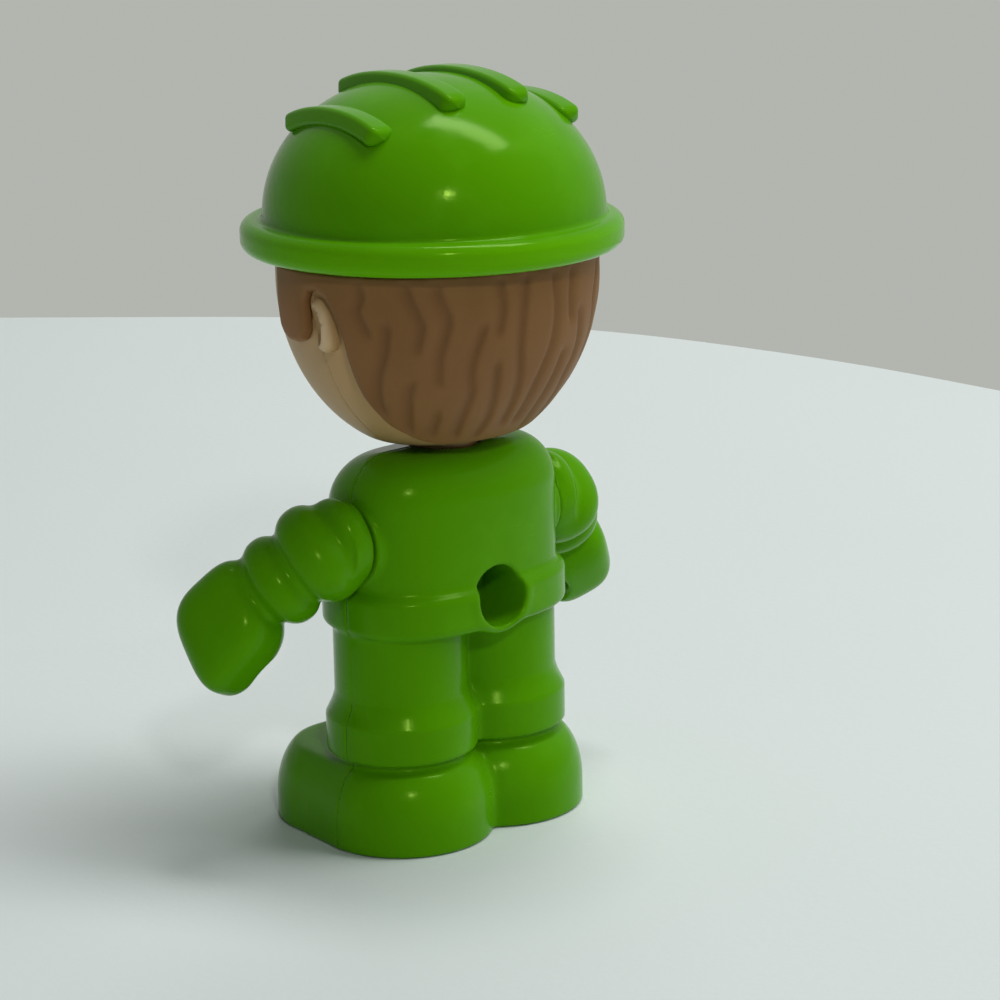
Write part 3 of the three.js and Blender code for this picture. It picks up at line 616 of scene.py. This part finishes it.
print("grooves on each side:", len(GROOVES))

# %% A map of their depth
STEEP_SIDE, EASY_SIDE = 0.34, 0.85
FADE_PAST, FADE_RUN = 0.6, 1.6
LINE_POINTS, SMOOTHING, HEAD_BULGE = 60, 9, 20


def groove_depth(side, line, angle, height):
    """Depth of one groove over a map of angle and height, 1 at its deepest."""
    line = np.array(line)[::-1]
    heights = np.linspace(line[0, 1], line[-1, 1], LINE_POINTS)
    centre = np.pad(np.interp(heights, line[:, 1], line[:, 0]), SMOOTHING // 2, "edge")
    centre = np.convolve(centre, np.full(SMOOTHING, 1 / SMOOTHING), "valid")
    middle = np.interp(height, heights, centre)
    middle = 180 - middle if side < 0 else middle
    radius = HEAD_R * np.sqrt(np.maximum(1 - ((HEAD_WIDE - height) / HEAD_BULGE) ** 2, 0.1))
    off = side * np.radians(angle - middle) * radius
    steep = np.where(off > 0, STEEP_SIDE, EASY_SIDE)
    fade = np.clip((height - heights[0] + FADE_PAST) / FADE_RUN, 0, 1)
    fade *= np.clip((heights[-1] + FADE_PAST - height) / FADE_RUN, 0, 1)
    return np.exp(-((off / steep) ** 2)) * fade**2 * (3 - 2 * fade)


ANGLES, HEIGHTS = np.linspace(-90, 270, 1441), np.linspace(42, 62, 161)
GROOVE_MAP = np.zeros((len(ANGLES), len(HEIGHTS)))
for side in (1, -1):
    for line in GROOVES:
        drawn = groove_depth(side, line, ANGLES[:, None], HEIGHTS[None, :])
        GROOVE_MAP = np.maximum(GROOVE_MAP, drawn)
print("groove map:", GROOVE_MAP.shape, "deepest", round(float(GROOVE_MAP.max()), 2))

# %% Reading a map between its points


def read_map(grid, first, second, a, b):
    """Bilinear value of a map at two coordinates."""
    i = np.clip((a - first[0]) / (first[1] - first[0]), 0, len(first) - 1.001)
    j = np.clip((b - second[0]) / (second[1] - second[0]), 0, len(second) - 1.001)
    i0, j0 = i.astype(int), j.astype(int)
    u, v = i - i0, j - j0
    low = grid[i0, j0] * (1 - v) + grid[i0, j0 + 1] * v
    high = grid[i0 + 1, j0] * (1 - v) + grid[i0 + 1, j0 + 1] * v
    return low * (1 - u) + high * u


def grooves(x, y, z):
    """Depth of the grooves at points of the head."""
    angle = np.degrees(np.arctan2(y - HEAD_Y, x))
    angle = np.where(angle < -90, angle + 360, angle)
    return read_map(GROOVE_MAP, ANGLES, HEIGHTS, angle, z)


nape = np.array([[0.0], [HEAD_REAR], [50.0]])
print("groove depth at the nape:", grooves(*nape).round(2))

# %% Side outline of the hair, as depth and height
HAIR_OUTLINE = [
    (-4.8, 64), (-4.8, 55.2), (-4.3, 54.2), (-3.2, 53.7), (-1.7, 53.7), (-0.5, 54.2),
    (0.2, 55.1), (0.5, 56.5), (0.4, 58.2), (0.9, 59.3), (2.2, 59.6), (3.3, 59.0),
    (4.1, 57.7), (4.6, 56.2), (4.9, 54.6), (4.9, 51.7), (4.9, 48.9), (5.1, 47.0),
    (5.5, 45.3), (6.3, 43.5), (7.1, 42.6), (26, 42.6), (26, 64),
]


def outline_map(corners, first, second):
    """Signed distance from a closed outline over a map, negative inside."""
    a, b = np.meshgrid(first, second, indexing="ij")
    near = np.full(a.shape, 1e9)
    within = np.zeros(a.shape, bool)
    for (a0, b0), (a1, b1) in zip(corners, corners[1:] + corners[:1]):
        da, db = a1 - a0, b1 - b0
        t = np.clip(((a - a0) * da + (b - b0) * db) / (da * da + db * db), 0, 1)
        near = np.minimum(near, np.hypot(a - a0 - t * da, b - b0 - t * db))
        if b0 != b1:
            passed = (b0 > b) != (b1 > b)
            within ^= passed & (a < a0 + (b - b0) / db * da)
    return np.where(within, -near, near)


DEPTHS, LEVELS = np.linspace(-12, 22, 341), np.linspace(40, 66, 261)
HAIR_MAP = outline_map(HAIR_OUTLINE, DEPTHS, LEVELS)
print("hair outline covers", int((HAIR_MAP < 0).sum()), "of", HAIR_MAP.size, "points")

# %% The hair cap
HAIR_TOP, HAIR_THICK, HAIR_GAP = 61.4, 1.15, 0.02
LOCK_DEPTH = 0.3


def hair_field(x, y, z):
    outer = bowl(x, y, z, HAIR_THICK) + LOCK_DEPTH * grooves(x, y, z)
    side = read_map(HAIR_MAP, DEPTHS, LEVELS, y, z)
    cap = soft_keep(soft_keep(outer, side, 0.7), z - HAIR_TOP, 0.2)
    return soft_keep(cap, -bowl(x, y, z, HAIR_GAP), 0.1)


hair_points, hair_faces = skin(hair_field, (-18.2, -5.4, 42.0), (18.2, 17, 61.9), 0.27)
hair = piece("hair", hair_points, hair_faces)
shade = hair.data.attributes.new("groove", "FLOAT", "POINT")
shade.data.foreach_set("value", grooves(*hair_points.T).astype(np.float32))

# %% [markdown]
# ## Helmet
# A full dome, slightly squarer than half an egg, over a rolled brim. A turned outline would do
# for the shell alone. The dome is written as a formula because the ribs have to follow it, and
# dome and brim are one field with a tight fillet, hollow underneath so that the helmet sits
# over the skull.

# %% Dome and brim
DOME_R, DOME_RISE, DOME_FULL, DOME_Z, DOME_CORE = 17.7, 14.7, 2.15, 64.6, 13.0
DOME_WALL = 1.6
BRIM_R, BRIM_Z, BRIM_HALF, BRIM_IN, BRIM_EDGE = 19.75, 63.3, 1.65, 17.1, 1.2


def dome(x, y, z, grow):
    out = np.hypot(x, y - HEAD_Y)
    up = np.maximum(z - DOME_Z, 0)
    wide, tall = DOME_R + grow, DOME_RISE + grow
    ratio = ((out / wide) ** DOME_FULL + (up / tall) ** DOME_FULL) ** (1 / DOME_FULL)
    return radial(np.hypot(out, up), ratio, DOME_CORE)


def helmet_field(x, y, z):
    shell = soft_keep(dome(x, y, z, 0), BRIM_Z - z, 0.2)
    brim = np.hypot(x, y) - BRIM_R
    roll = slab(brim, z, BRIM_Z - BRIM_HALF, BRIM_Z + BRIM_HALF, BRIM_EDGE)
    whole = soft_join(shell, roll, 0.5)
    under = np.maximum(bar(x, y - HEAD_Y, BRIM_IN), z - DOME_Z)
    hollow = np.minimum(np.maximum(dome(x, y, z, -DOME_WALL), DOME_Z - 1 - z), under)
    return soft_cut(whole, hollow, 0.4)


helmet = piece(
    "helmet_shell", *skin(helmet_field, (-20.2, -20.2, 61.2), (20.2, 20.2, 79.7), 0.3)
)

# %% [markdown]
# ## Node expressions
# Ribs and finishes are both node trees. They could be built node by node in the editor, but
# a formula of ten nodes is hard to read there. One small class wraps a socket so that sums and
# products of values read as ordinary Python, and one method makes any other node from its type,
# its settings and its sockets.

# %% A socket that can be reckoned with


class Wire:
    def __init__(self, tree, socket=None):
        self.tree, self.socket = tree, socket

    def node(self, kind, settings=(), sockets=()):
        """Any node: its settings first, then the values or links of its sockets."""
        made = self.tree.nodes.new(kind)
        for key, value in dict(settings).items():
            setattr(made, key, value)
        for key, value in dict(sockets).items():
            if isinstance(value, Wire):
                self.tree.links.new(value.socket, made.inputs[key])
            else:
                made.inputs[key].default_value = value
        return made

    def out(self, made, key=0):
        return Wire(self.tree, made.outputs[key])

    def math(self, operation, *values, clamp=False):
        settings = {"operation": operation, "use_clamp": clamp}
        return self.out(self.node("ShaderNodeMath", settings, dict(enumerate(values))))

    def __add__(self, other):
        return self.math("ADD", self, other)

    def __sub__(self, other):
        return self.math("SUBTRACT", self, other)

    def __rsub__(self, other):
        return self.math("SUBTRACT", other, self)

    def __mul__(self, other):
        return self.math("MULTIPLY", self, other)

    def __truediv__(self, other):
        return self.math("DIVIDE", self, other)

    def __rtruediv__(self, other):
        return self.math("DIVIDE", other, self)

    def __pow__(self, other):
        return self.math("POWER", self, other)

    def __rpow__(self, other):
        return self.math("POWER", other, self)

    def __abs__(self):
        return self.math("ABSOLUTE", self)

    __radd__ = __add__
    __rmul__ = __mul__


print("Wire can:", [name for name in vars(Wire) if not name.startswith("__")])

# %% [markdown]
# ## Finish of the green mouldings
# Lime green plastic, satin to glossy, with a colour that drifts a little from the flow of the
# melt, a very fine moulded texture, and rubbed patches and hairlines where it has been played
# with. The rolled brim lets more light through and is painted a little lighter than the dome:
# painted light, for the light that comes through it and up from the floor. One flat colour
# would look like paint, so layers of noise mix the tones and the gloss. The pattern reads
# Object coordinates and runs on over all the pieces.

# %% Shared steps of a finish


def finish(name):
    """A new material, a wire into its tree, and the place on the object."""
    made = bpy.data.materials.new(name)
    made.use_nodes = True
    made.node_tree.nodes.clear()
    w = Wire(made.node_tree)
    return made, w, w.out(w.node("ShaderNodeTexCoord"), "Object")


def noise(w, where, scale, detail=3.0, stretch=(1, 1, 1), turn=(0, 0, 0)):
    """Noise between 0 and 1 over a surface; the scale is in patches for each metre."""
    laid = w.node("ShaderNodeMapping", {}, {"Vector": where, "Scale": stretch, "Rotation": turn})
    sockets = {"Vector": w.out(laid), "Scale": scale, "Detail": detail}
    return w.out(w.node("ShaderNodeTexNoise", {}, sockets), "Fac")


def tint(w, factor, first, second):
    """A colour between two colours; either may be a link."""
    settings = {"data_type": "RGBA", "clamp_factor": True}
    ends = [c if isinstance(c, Wire) else (*c, 1) for c in (first, second)]
    sockets = {"Factor": factor, 6: ends[0], 7: ends[1]}
    return w.out(w.node("ShaderNodeMix", settings, sockets), 2)


def close(w, colour, rough, relief, depth, **fixed):
    """The last nodes: bump, shader and output."""
    bump = w.node("ShaderNodeBump", {}, {"Height": relief, "Strength": 0.6, "Distance": depth})
    sockets = {"Base Color": colour, "Roughness": rough, "Normal": w.out(bump), **fixed}
    shader = w.node("ShaderNodeBsdfPrincipled", {}, sockets)
    w.node("ShaderNodeOutputMaterial", {}, {"Surface": w.out(shader)})


print("materials before ours:", len(bpy.data.materials))

# %% Green plastic
# The rim green is painted light: below a height the brim is coloured lighter, for the light that
# comes through it and up from the floor.
BRIM_LIGHT_GREEN, BRIM_LIGHT_TOP, BRIM_LIGHT_BLEND = (0.116, 0.412, 0.0008), BRIM_Z + 1.5, 0.8
SHEEN = {"Specular IOR Level": 0.15, "Specular Tint": (0.65, 1.0, 0.15, 1)}


def green(name, deep, bright, satin, rim=None):
    """Green plastic between two tones, with painted light below the height of a rim."""
    made, w, where = finish(name)
    drift = noise(w, where, 45, 2)
    fine = noise(w, where, 1500, 2)
    rub = noise(w, where, 160, 5)
    lines = noise(w, where, 260, 2, (1, 1, 14), (0.5, 0.3, 0.2))
    hair_line = w.math("SUBTRACT", abs(lines - 0.5) * -60, -1, clamp=True)
    worn = w.math("MULTIPLY", rub - 0.52, 5, clamp=True)
    colour = tint(w, drift, deep, bright)
    colour = tint(w, worn * 0.1, colour, tuple(min(1, 1.5 * c + 0.02) for c in bright))
    if rim is not None:
        # Painted light: below the rim height the colour is mixed toward a lighter green.
        height = w.out(w.node("ShaderNodeSeparateXYZ", {}, {"Vector": where}), "Z")
        edge = w.math("MULTIPLY", height * -1 + rim * MM, 1 / (BRIM_LIGHT_BLEND * MM), clamp=True)
        colour = tint(w, edge, colour, BRIM_LIGHT_GREEN)
    rough = satin + 0.05 * drift + 0.06 * worn + 0.1 * hair_line * worn
    close(w, colour, rough, fine + 0.4 * rub, 0.00002, **SHEEN)
    return made


GREEN = green("green_moulding", (0.070, 0.270, 0.0003), (0.088, 0.325, 0.0005), 0.17)
HELMET_GREEN = green(
    "helmet_moulding", (0.075, 0.293, 0.0003), (0.094, 0.350, 0.0006), 0.12, BRIM_LIGHT_TOP
)
print("greens:", GREEN.name, HELMET_GREEN.name)

# %% [markdown]
# ## Ribs on the helmet
# Four ribs run from front to back over the dome, with sloped sides, rounded corners and ends
# that run out into the shell. They repeat and follow the dome, so Geometry Nodes make them: one
# line is set out at four places, lifted onto the dome by the dome's own formula, and given a
# trapezoid section that gets thinner at its ends. A curve with a bevel would need each line
# drawn by hand.

# %% Inputs of the rib tree
RIB_COUNT = 4
RIB_SIZES = {
    "Pitch": 7.7 * MM,
    "Inner Half": 10.0 * MM,
    "Outer Half": 8.1 * MM,
    "Half Width": 1.45 * MM,
    "Height": 0.98 * MM,
    "Corner": 0.6 * MM,
    "End Lift": 0.6 * MM,
    "Turn": math.radians(-5.7),
    "Dome Radius": DOME_R * MM,
    "Dome Rise": DOME_RISE * MM,
    "Dome Base": DOME_Z * MM,
    "Dome Centre": HEAD_Y * MM,
}
ribs_tree = bpy.data.node_groups.new("helmet_ribs", "GeometryNodeTree")
ribs_tree.interface.new_socket("Count", in_out="INPUT", socket_type="NodeSocketInt")
for label in RIB_SIZES:
    ribs_tree.interface.new_socket(label, in_out="INPUT", socket_type="NodeSocketFloat")
ribs_tree.interface.new_socket("Geometry", in_out="OUTPUT", socket_type="NodeSocketGeometry")
g = Wire(ribs_tree)
given = g.node("NodeGroupInput")
size = {label: g.out(given, label) for label in ["Count", *RIB_SIZES]}
print("rib inputs:", list(size))

# %% Four straight lines
RIB_POINTS = 110
pitch = size["Pitch"]
first = g.node("ShaderNodeCombineXYZ", {}, {"X": (size["Count"] - 1) * pitch * -0.5})
step = g.node("ShaderNodeCombineXYZ", {}, {"X": pitch})
places = g.node(
    "GeometryNodeMeshLine",
    {},
    {"Count": size["Count"], "Start Location": g.out(first), "Offset": g.out(step)},
)
line = g.node("GeometryNodeCurvePrimitiveLine", {}, {"Start": (0, -1, 0), "End": (0, 1, 0)})
fine_line = g.node("GeometryNodeResampleCurve", {}, {"Curve": g.out(line), "Count": RIB_POINTS})
copies = g.node(
    "GeometryNodeInstanceOnPoints", {}, {"Points": g.out(places), "Instance": g.out(fine_line)}
)
lines = g.node("GeometryNodeRealizeInstances", {}, {"Geometry": g.out(copies)})
print("nodes so far:", len(ribs_tree.nodes))

# %% Lifted onto the dome
LIFT_LEVEL = 0.35
place = g.out(g.node("GeometryNodeInputPosition"))
spot = g.node("ShaderNodeSeparateXYZ", {}, {"Vector": place})
x, t = g.out(spot, "X"), g.out(spot, "Y")
outer = g.math("GREATER_THAN", abs(x), pitch)
y = t * (size["Inner Half"] + outer * (size["Outer Half"] - size["Inner Half"]))
span = (x * x + y * y) ** 0.5 / size["Dome Radius"]
lift = (1 - span**DOME_FULL) ** (1 / DOME_FULL) * size["Dome Rise"]
lift = lift + size["End Lift"] * (t * t - LIFT_LEVEL)
over = g.node("ShaderNodeCombineXYZ", {}, {"X": x, "Y": y, "Z": lift})
turn = g.node(
    "ShaderNodeVectorRotate",
    {"rotation_type": "Z_AXIS"},
    {"Vector": g.out(over), "Angle": size["Turn"]},
)
seat = g.node("ShaderNodeCombineXYZ", {}, {"Y": size["Dome Centre"], "Z": size["Dome Base"]})
on_dome = g.node("ShaderNodeVectorMath", {"operation": "ADD"}, {0: g.out(turn), 1: g.out(seat)})
sockets = {"Geometry": g.out(lines), "Position": g.out(on_dome)}
laid = g.node("GeometryNodeSetPosition", {}, sockets)
print("nodes so far:", len(ribs_tree.nodes))

# %% Section, thinner at the ends
RIB_SPREAD = 1.2  # the section lies upside down on the curve, so its top is the wide side
RIB_END = 0.12
block = g.node(
    "GeometryNodeCurvePrimitiveQuadrilateral",
    {"mode": "TRAPEZOID"},
    {
        "Bottom Width": size["Half Width"] * 2 / RIB_SPREAD,
        "Top Width": size["Half Width"] * 2 * RIB_SPREAD,
        "Offset": 0.0,
        "Height": size["Height"] * 2,
    },
)
section = g.node(
    "GeometryNodeFilletCurve",
    {"mode": "POLY"},
    {"Curve": g.out(block), "Count": 8, "Radius": size["Corner"], "Limit Radius": True},
)
run = abs(g.out(g.node("GeometryNodeSplineParameter"), "Factor") * 2 - 1)
end = g.math("MULTIPLY", run - (1 - RIB_END), 1 / RIB_END, clamp=True)
thin = g.math("MAXIMUM", 1 - end * end, 0.0) ** 0.5
upright = g.node("GeometryNodeSetCurveNormal", {"mode": "Z_UP"}, {"Curve": g.out(laid)})
tube = g.node(
    "GeometryNodeCurveToMesh",
    {},
    {"Curve": g.out(upright), "Profile Curve": g.out(section), "Scale": thin, "Fill Caps": True},
)
smooth = g.node("GeometryNodeSetShadeSmooth", {}, {"Geometry": g.out(tube)})
plain = g.node("GeometryNodeRealizeInstances", {}, {"Geometry": g.out(smooth)})
painted = g.node(
    "GeometryNodeSetMaterial", {}, {"Geometry": g.out(plain), "Material": HELMET_GREEN}
)
g.node("NodeGroupOutput", {}, {"Geometry": g.out(painted)})
print("nodes in all:", len(ribs_tree.nodes))

# %% From the tree to a plain mesh
ribs = bpy.data.objects.new("helmet_ribs", bpy.data.meshes.new("helmet_ribs"))
bpy.context.scene.collection.objects.link(ribs)
maker = ribs.modifiers.new("ribs", "NODES")
maker.node_group = ribs_tree
slots = {item.name: item.identifier for item in ribs_tree.interface.items_tree}
maker[slots["Count"]] = RIB_COUNT
for label, value in RIB_SIZES.items():
    maker[slots[label]] = value
ready = ribs.evaluated_get(bpy.context.evaluated_depsgraph_get())
made_ribs = bpy.data.meshes.new_from_object(ready)
ribs.modifiers.clear()
ribs.data = made_ribs
print("ribs:", len(ribs.data.polygons), "faces")

# %% [markdown]
# ## Skin, with a printed face
# The head is matt peach plastic. The face is printed: two oval eyes with a small light, soft
# brows, a short smile and a little warmth on the cheeks, all in plain proportions, with the
# eyes at mid head. An image could carry the print, but it would need a file and an unwrapped
# mesh. Each mark is a soft-edged oval measured from the front instead, so the print stays on
# the face when the head turns.

# %% Oval marks
PRINT_FROM, PRINT_RUN = 5, 2


def ramp(w, value, start, run):
    """0 up to a start in mm, then rising to 1 over a run in mm."""
    return w.math("MULTIPLY", value - start * MM, 1 / (run * MM), clamp=True)


def oval(w, along, up, centre, half, edge=0.12):
    """A mask that is 1 inside an oval and falls to 0 at its edge."""
    a = (along - centre[0] * MM) * (1 / (half[0] * MM))
    b = (up - centre[1] * MM) * (1 / (half[1] * MM))
    return w.math("MULTIPLY", 1 - (a * a + b * b) ** 0.5, 1 / edge, clamp=True)


print("print starts", PRINT_FROM, "mm in front of the middle")

# %% The printed face
EYE_X, EYE_Z, EYE_LIGHT_Z = 5.2, 55.0, 55.8
CHEEK, BROW_Z, MOUTH_Z = (8.6, 49.6), 58.9, 47.2
BROW_ARCH, SMILE_CURVE = 45, 70


def print_face(w, colour, along, ahead, up):
    """The colour of the skin with the marks of the face on it."""
    side, shifted = abs(along), along - 0.4 * MM
    front = ramp(w, ahead * -1, PRINT_FROM, PRINT_RUN)
    lights = [oval(w, shifted, up, (x, EYE_LIGHT_Z), (0.42, 0.5)) for x in (EYE_X, -EYE_X)]
    arch = up + (side - EYE_X * MM) ** 2 * BROW_ARCH
    curve = up - along * along * SMILE_CURVE
    marks = [
        (oval(w, side, up, CHEEK, (2.6, 1.9), 0.9) * 0.35, (0.62, 0.22, 0.13)),
        (oval(w, side, up, (EYE_X, EYE_Z), (1.35, 2.0)), (0.030, 0.016, 0.010)),
        (w.math("MAXIMUM", *lights), (0.85, 0.85, 0.82)),
        (oval(w, side, arch, (EYE_X, BROW_Z), (2.2, 0.42), 0.3), (0.085, 0.045, 0.022)),
        (oval(w, along, curve, (0, MOUTH_Z), (3.1, 0.34), 0.3), (0.22, 0.055, 0.035)),
    ]
    for mask, ink in marks:
        colour = tint(w, mask * front, colour, ink)
    return colour


print("eyes", 2 * EYE_X, "mm apart at", EYE_Z, "mm")

# %% Skin plastic
# Where the painted light on the ear rims starts, and how far it runs, in mm from the middle.
EAR_LIGHT_START, EAR_LIGHT_RUN = 16.6, 0.9


def skin_finish(name, with_face):
    """Peach plastic, with painted light on the thin rim of the ears."""
    made, w, where = finish(name)
    drift = noise(w, where, 70, 3)
    fine = noise(w, where, 1800, 2)
    colour = tint(w, drift, (0.470, 0.290, 0.120), (0.525, 0.330, 0.142))
    apart = w.node("ShaderNodeSeparateXYZ", {}, {"Vector": where})
    along, ahead, up = (w.out(apart, key) for key in "XYZ")
    # Painted light: the outer rims of the ears are mixed toward a pale tone where they catch the
    # light.
    ear_rim_light = ramp(w, abs(along), EAR_LIGHT_START, EAR_LIGHT_RUN)
    colour = tint(w, ear_rim_light * 0.6, colour, (0.78, 0.60, 0.40))
    if with_face:
        colour = print_face(w, colour, along, ahead, up)
    close(w, colour, 0.42 + 0.1 * drift, fine, 0.00003, **{"Specular IOR Level": 0.3})
    return made


SKIN = skin_finish("skin_plain", False)
FACE = skin_finish("skin_face", True)
print("skins:", SKIN.name, FACE.name)

# %% [markdown]
# ## Hair and pegs
# The hair is brown satin plastic, with painted shade down in the grooves and painted warm light
# on the thin sideburns, where light comes through them. A noise could only guess where the
# grooves are, so their depth was stored on the mesh as an attribute, and the colour reads it.
# The shoulder pegs inside are plain ivory plastic.

# %% Hair plastic
# Where the painted warm light on the sideburns starts and runs.
SIDEBURN_Y, SIDEBURN_Z = (0.4, 2), (59.5, 3)  # start and run, forwards and downwards
HAIR, w, where = finish("hair_plastic")
groove = w.out(w.node("ShaderNodeAttribute", {"attribute_name": "groove"}), "Fac")
streak = noise(w, where, 350, 3, (1, 1, 0.15))
fine = noise(w, where, 1600, 2)
brown = tint(w, streak, (0.205, 0.098, 0.032), (0.252, 0.124, 0.044))
# Painted shade: the brown is darkened down in the grooves, by their stored depth.
brown = tint(w, groove * 0.4, brown, (0.100, 0.042, 0.014))
apart = w.node("ShaderNodeSeparateXYZ", {}, {"Vector": where})
# Painted light: the thin sideburns are mixed toward a warm orange, as light coming through them.
sideburn_light_masks = []
for key, (start, run) in (("Y", SIDEBURN_Y), ("Z", SIDEBURN_Z)):
    rest = start * MM - w.out(apart, key)
    sideburn_light_masks.append(w.math("MULTIPLY", rest, 1 / (run * MM), clamp=True))
brown = tint(w, sideburn_light_masks[0] * sideburn_light_masks[1] * 0.35, brown, (0.34, 0.130, 0.030))
rough = 0.45 + 0.1 * streak + 0.08 * groove
warm = {"Specular IOR Level": 0.2, "Specular Tint": (1.0, 0.85, 0.7, 1)}
close(w, brown, rough, fine + 0.4 * streak, 0.00004, **warm)
print("hair nodes:", len(HAIR.node_tree.nodes))

# %% Ivory plastic
IVORY, w, where = finish("ivory_plastic")
cloud = noise(w, where, 120, 3)
fine = noise(w, where, 1600, 2)
ivory = tint(w, cloud, (0.62, 0.58, 0.48), (0.70, 0.66, 0.56))
close(w, ivory, 0.38 + 0.1 * cloud, fine, 0.00003)
print("materials:", len(bpy.data.materials))

# %% [markdown]
# ## Dressing the model
# Each new piece rides on the body whose solid it stands for, and takes that solid's place. The
# ribs are moulded on the helmet and ride with it. The shoulder pegs keep their own solids, which
# are hidden in the sleeves, with a better finish. Parenting by hand would do the same.

# %% Riding and replacing
DRESS = [
    (body_front, "body", "body_front_shell", "green_body", GREEN),
    (body_rear, "body", "body_rear_shell", "green_body", GREEN),
    (arms["left"], "left_arm_body", "left_arm", "green_body", GREEN),
    (arms["right"], "right_arm_body", "right_arm", "green_body", GREEN),
    (face, "head", "face_shell", "skin", FACE),
    (head_rear, "head", "head_rear_shell", "skin", SKIN),
    (neck, "head", "neck_spool", "skin", SKIN),
    (hair, "head", "hair_cap", "hair", HAIR),
    (helmet, "head", "helmet", "green_helmet", HELMET_GREEN),
]
for made, body, node, slot, material in DRESS:
    made.data.materials.append(material)
    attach(made, body)
    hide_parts(node)
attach(ribs, "head")
for name in ("left_shoulder_peg", "right_shoulder_peg"):
    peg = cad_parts[name]
    peg.data.materials.clear()
    peg.data.materials.append(IVORY)

# %% [markdown]
# ## Floor, light and camera
# The figure stands on a pale sheet that ends in a soft curve behind it, in front of a grey
# wall. The sheet is a flat mesh with a curved far edge. The wall could be a second plane, but it
# would block views from other sides, so it is the world's own colour, for the camera and for
# reflections only. Four plain lamps light the figure, two of them
# kept out of its reflections.

# %% Floor
FAR_EDGE = [
    (0.30, -0.75), (0.02, -0.42), (-0.118, -0.269), (-0.161, -0.227), (-0.193, -0.176),
    (-0.202, -0.120), (-0.202, -0.087), (-0.20, 0.05), (-0.30, 0.55),
]
NEAR_CORNER, FLOOR_Z = (1.6, 1.6), -0.00005
EDGE_POINTS, EDGE_SMOOTHING = 60, 12
along = np.linspace(0, 1, len(FAR_EDGE))
far = np.stack(
    [np.interp(np.linspace(0, 1, EDGE_POINTS), along, list(part)) for part in zip(*FAR_EDGE)], 1
)
for _ in range(EDGE_SMOOTHING):
    far[1:-1] = (far[:-2] + 2 * far[1:-1] + far[2:]) / 4
rim = np.vstack([far, [NEAR_CORNER]])[::-1]
sheet = bpy.data.meshes.new("floor")
sheet.from_pydata([(a, b, FLOOR_Z) for a, b in rim], [], [list(range(len(rim)))])
floor = bpy.data.objects.new("floor", sheet)
bpy.context.scene.collection.objects.link(floor)
print("floor corners:", len(rim))

# %% Floor paper
PAPER, w, where = finish("floor_paper")
cloud = noise(w, where, 6, 3)
fibre = noise(w, where, 900, 2)
white = tint(w, cloud, (0.645, 0.71, 0.69), (0.71, 0.765, 0.75))
close(w, white, 0.6 + 0.1 * cloud, fibre, 0.00005)
floor.data.materials.append(PAPER)
print("floor finish:", PAPER.name)

# %% World
world = bpy.data.worlds.new("studio")
bpy.context.scene.world = world
world.use_nodes = True
world.node_tree.nodes.clear()
w = Wire(world.node_tree)
path = w.node("ShaderNodeLightPath")
seen = w.math("MAXIMUM", w.out(path, "Is Camera Ray"), w.out(path, "Is Glossy Ray"))
seen = w.math("MAXIMUM", seen, w.out(path, "Is Transmission Ray"))
wall = w.node("ShaderNodeBackground", {}, {"Color": (0.45, 0.465, 0.43, 1), "Strength": 1.0})
ambient = w.node("ShaderNodeBackground", {}, {"Color": (0.95, 0.98, 1.0, 1), "Strength": 0.08})
both = w.node("ShaderNodeMixShader", {}, {0: seen, 1: w.out(ambient), 2: w.out(wall)})
w.node("ShaderNodeOutputWorld", {}, {"Surface": w.out(both)})
print("world:", world.name)

# %% Lamps
RIGHT = (-0.74113, 0.67114, -0.01702)
AIM = Vector((0, 0, 0.04))
LAMPS = [  # name, place, width, depth, power, swing in degrees, mirrored or not
    ("ceiling", (-0.24, 0.11, 0.91), 0.62, 0.19, 4.6, -23, True),
    ("window", (-0.63, 0.45, 0.61), 0.75, 0.75, 4.1, 0, False),
    ("lamp", (0.52, 0.88, 0.68), 0.09, 0.09, 2.4, 0, True),
    ("room", (-0.70, -0.58, 0.45), 0.60, 0.40, 2.3, 0, False),
]


def placed(made, across, up, back, place):
    """Link an object, with its three axes and its place."""
    rows = [(*row, p) for *row, p in zip(across, up, back, place)]
    made.matrix_world = Matrix(rows + [(0, 0, 0, 1)])
    bpy.context.scene.collection.objects.link(made)
    return made


def softbox(name, place, wide, deep, power, swing, mirrored):
    """A lamp that faces the figure, its width across the picture, swung about its own axis."""
    lamp = bpy.data.lights.new(name, "AREA")
    lamp.shape = "RECTANGLE"
    lamp.size, lamp.size_y = wide, deep
    lamp.energy = power
    back = (Vector(place) - AIM).normalized()
    up = back.cross(Vector(RIGHT)).normalized()
    spin = Matrix.Rotation(math.radians(swing), 3, back)
    made = bpy.data.objects.new(name, lamp)
    placed(made, spin @ up.cross(back), spin @ up, back, place).visible_glossy = mirrored


for row in LAMPS:
    softbox(*row)

# %% Camera
UP = (-0.18264, -0.17716, 0.96709)
BACK = (0.64604, 0.71985, 0.25387)
PLACE = (0.20149, 0.23418, 0.11549)
camera = bpy.data.cameras.new("camera")
camera.lens = 109.34
camera.sensor_width = 36
camera.clip_start = 0.01
eye = placed(bpy.data.objects.new("camera", camera), RIGHT, UP, BACK, PLACE)
bpy.context.scene.camera = eye
bpy.context.scene.view_settings.view_transform = "Standard"
print("camera at", [round(v, 3) for v in eye.location])

# %% [markdown]
# ## Size
# The dressed figure has to stay in the box of the packed model.
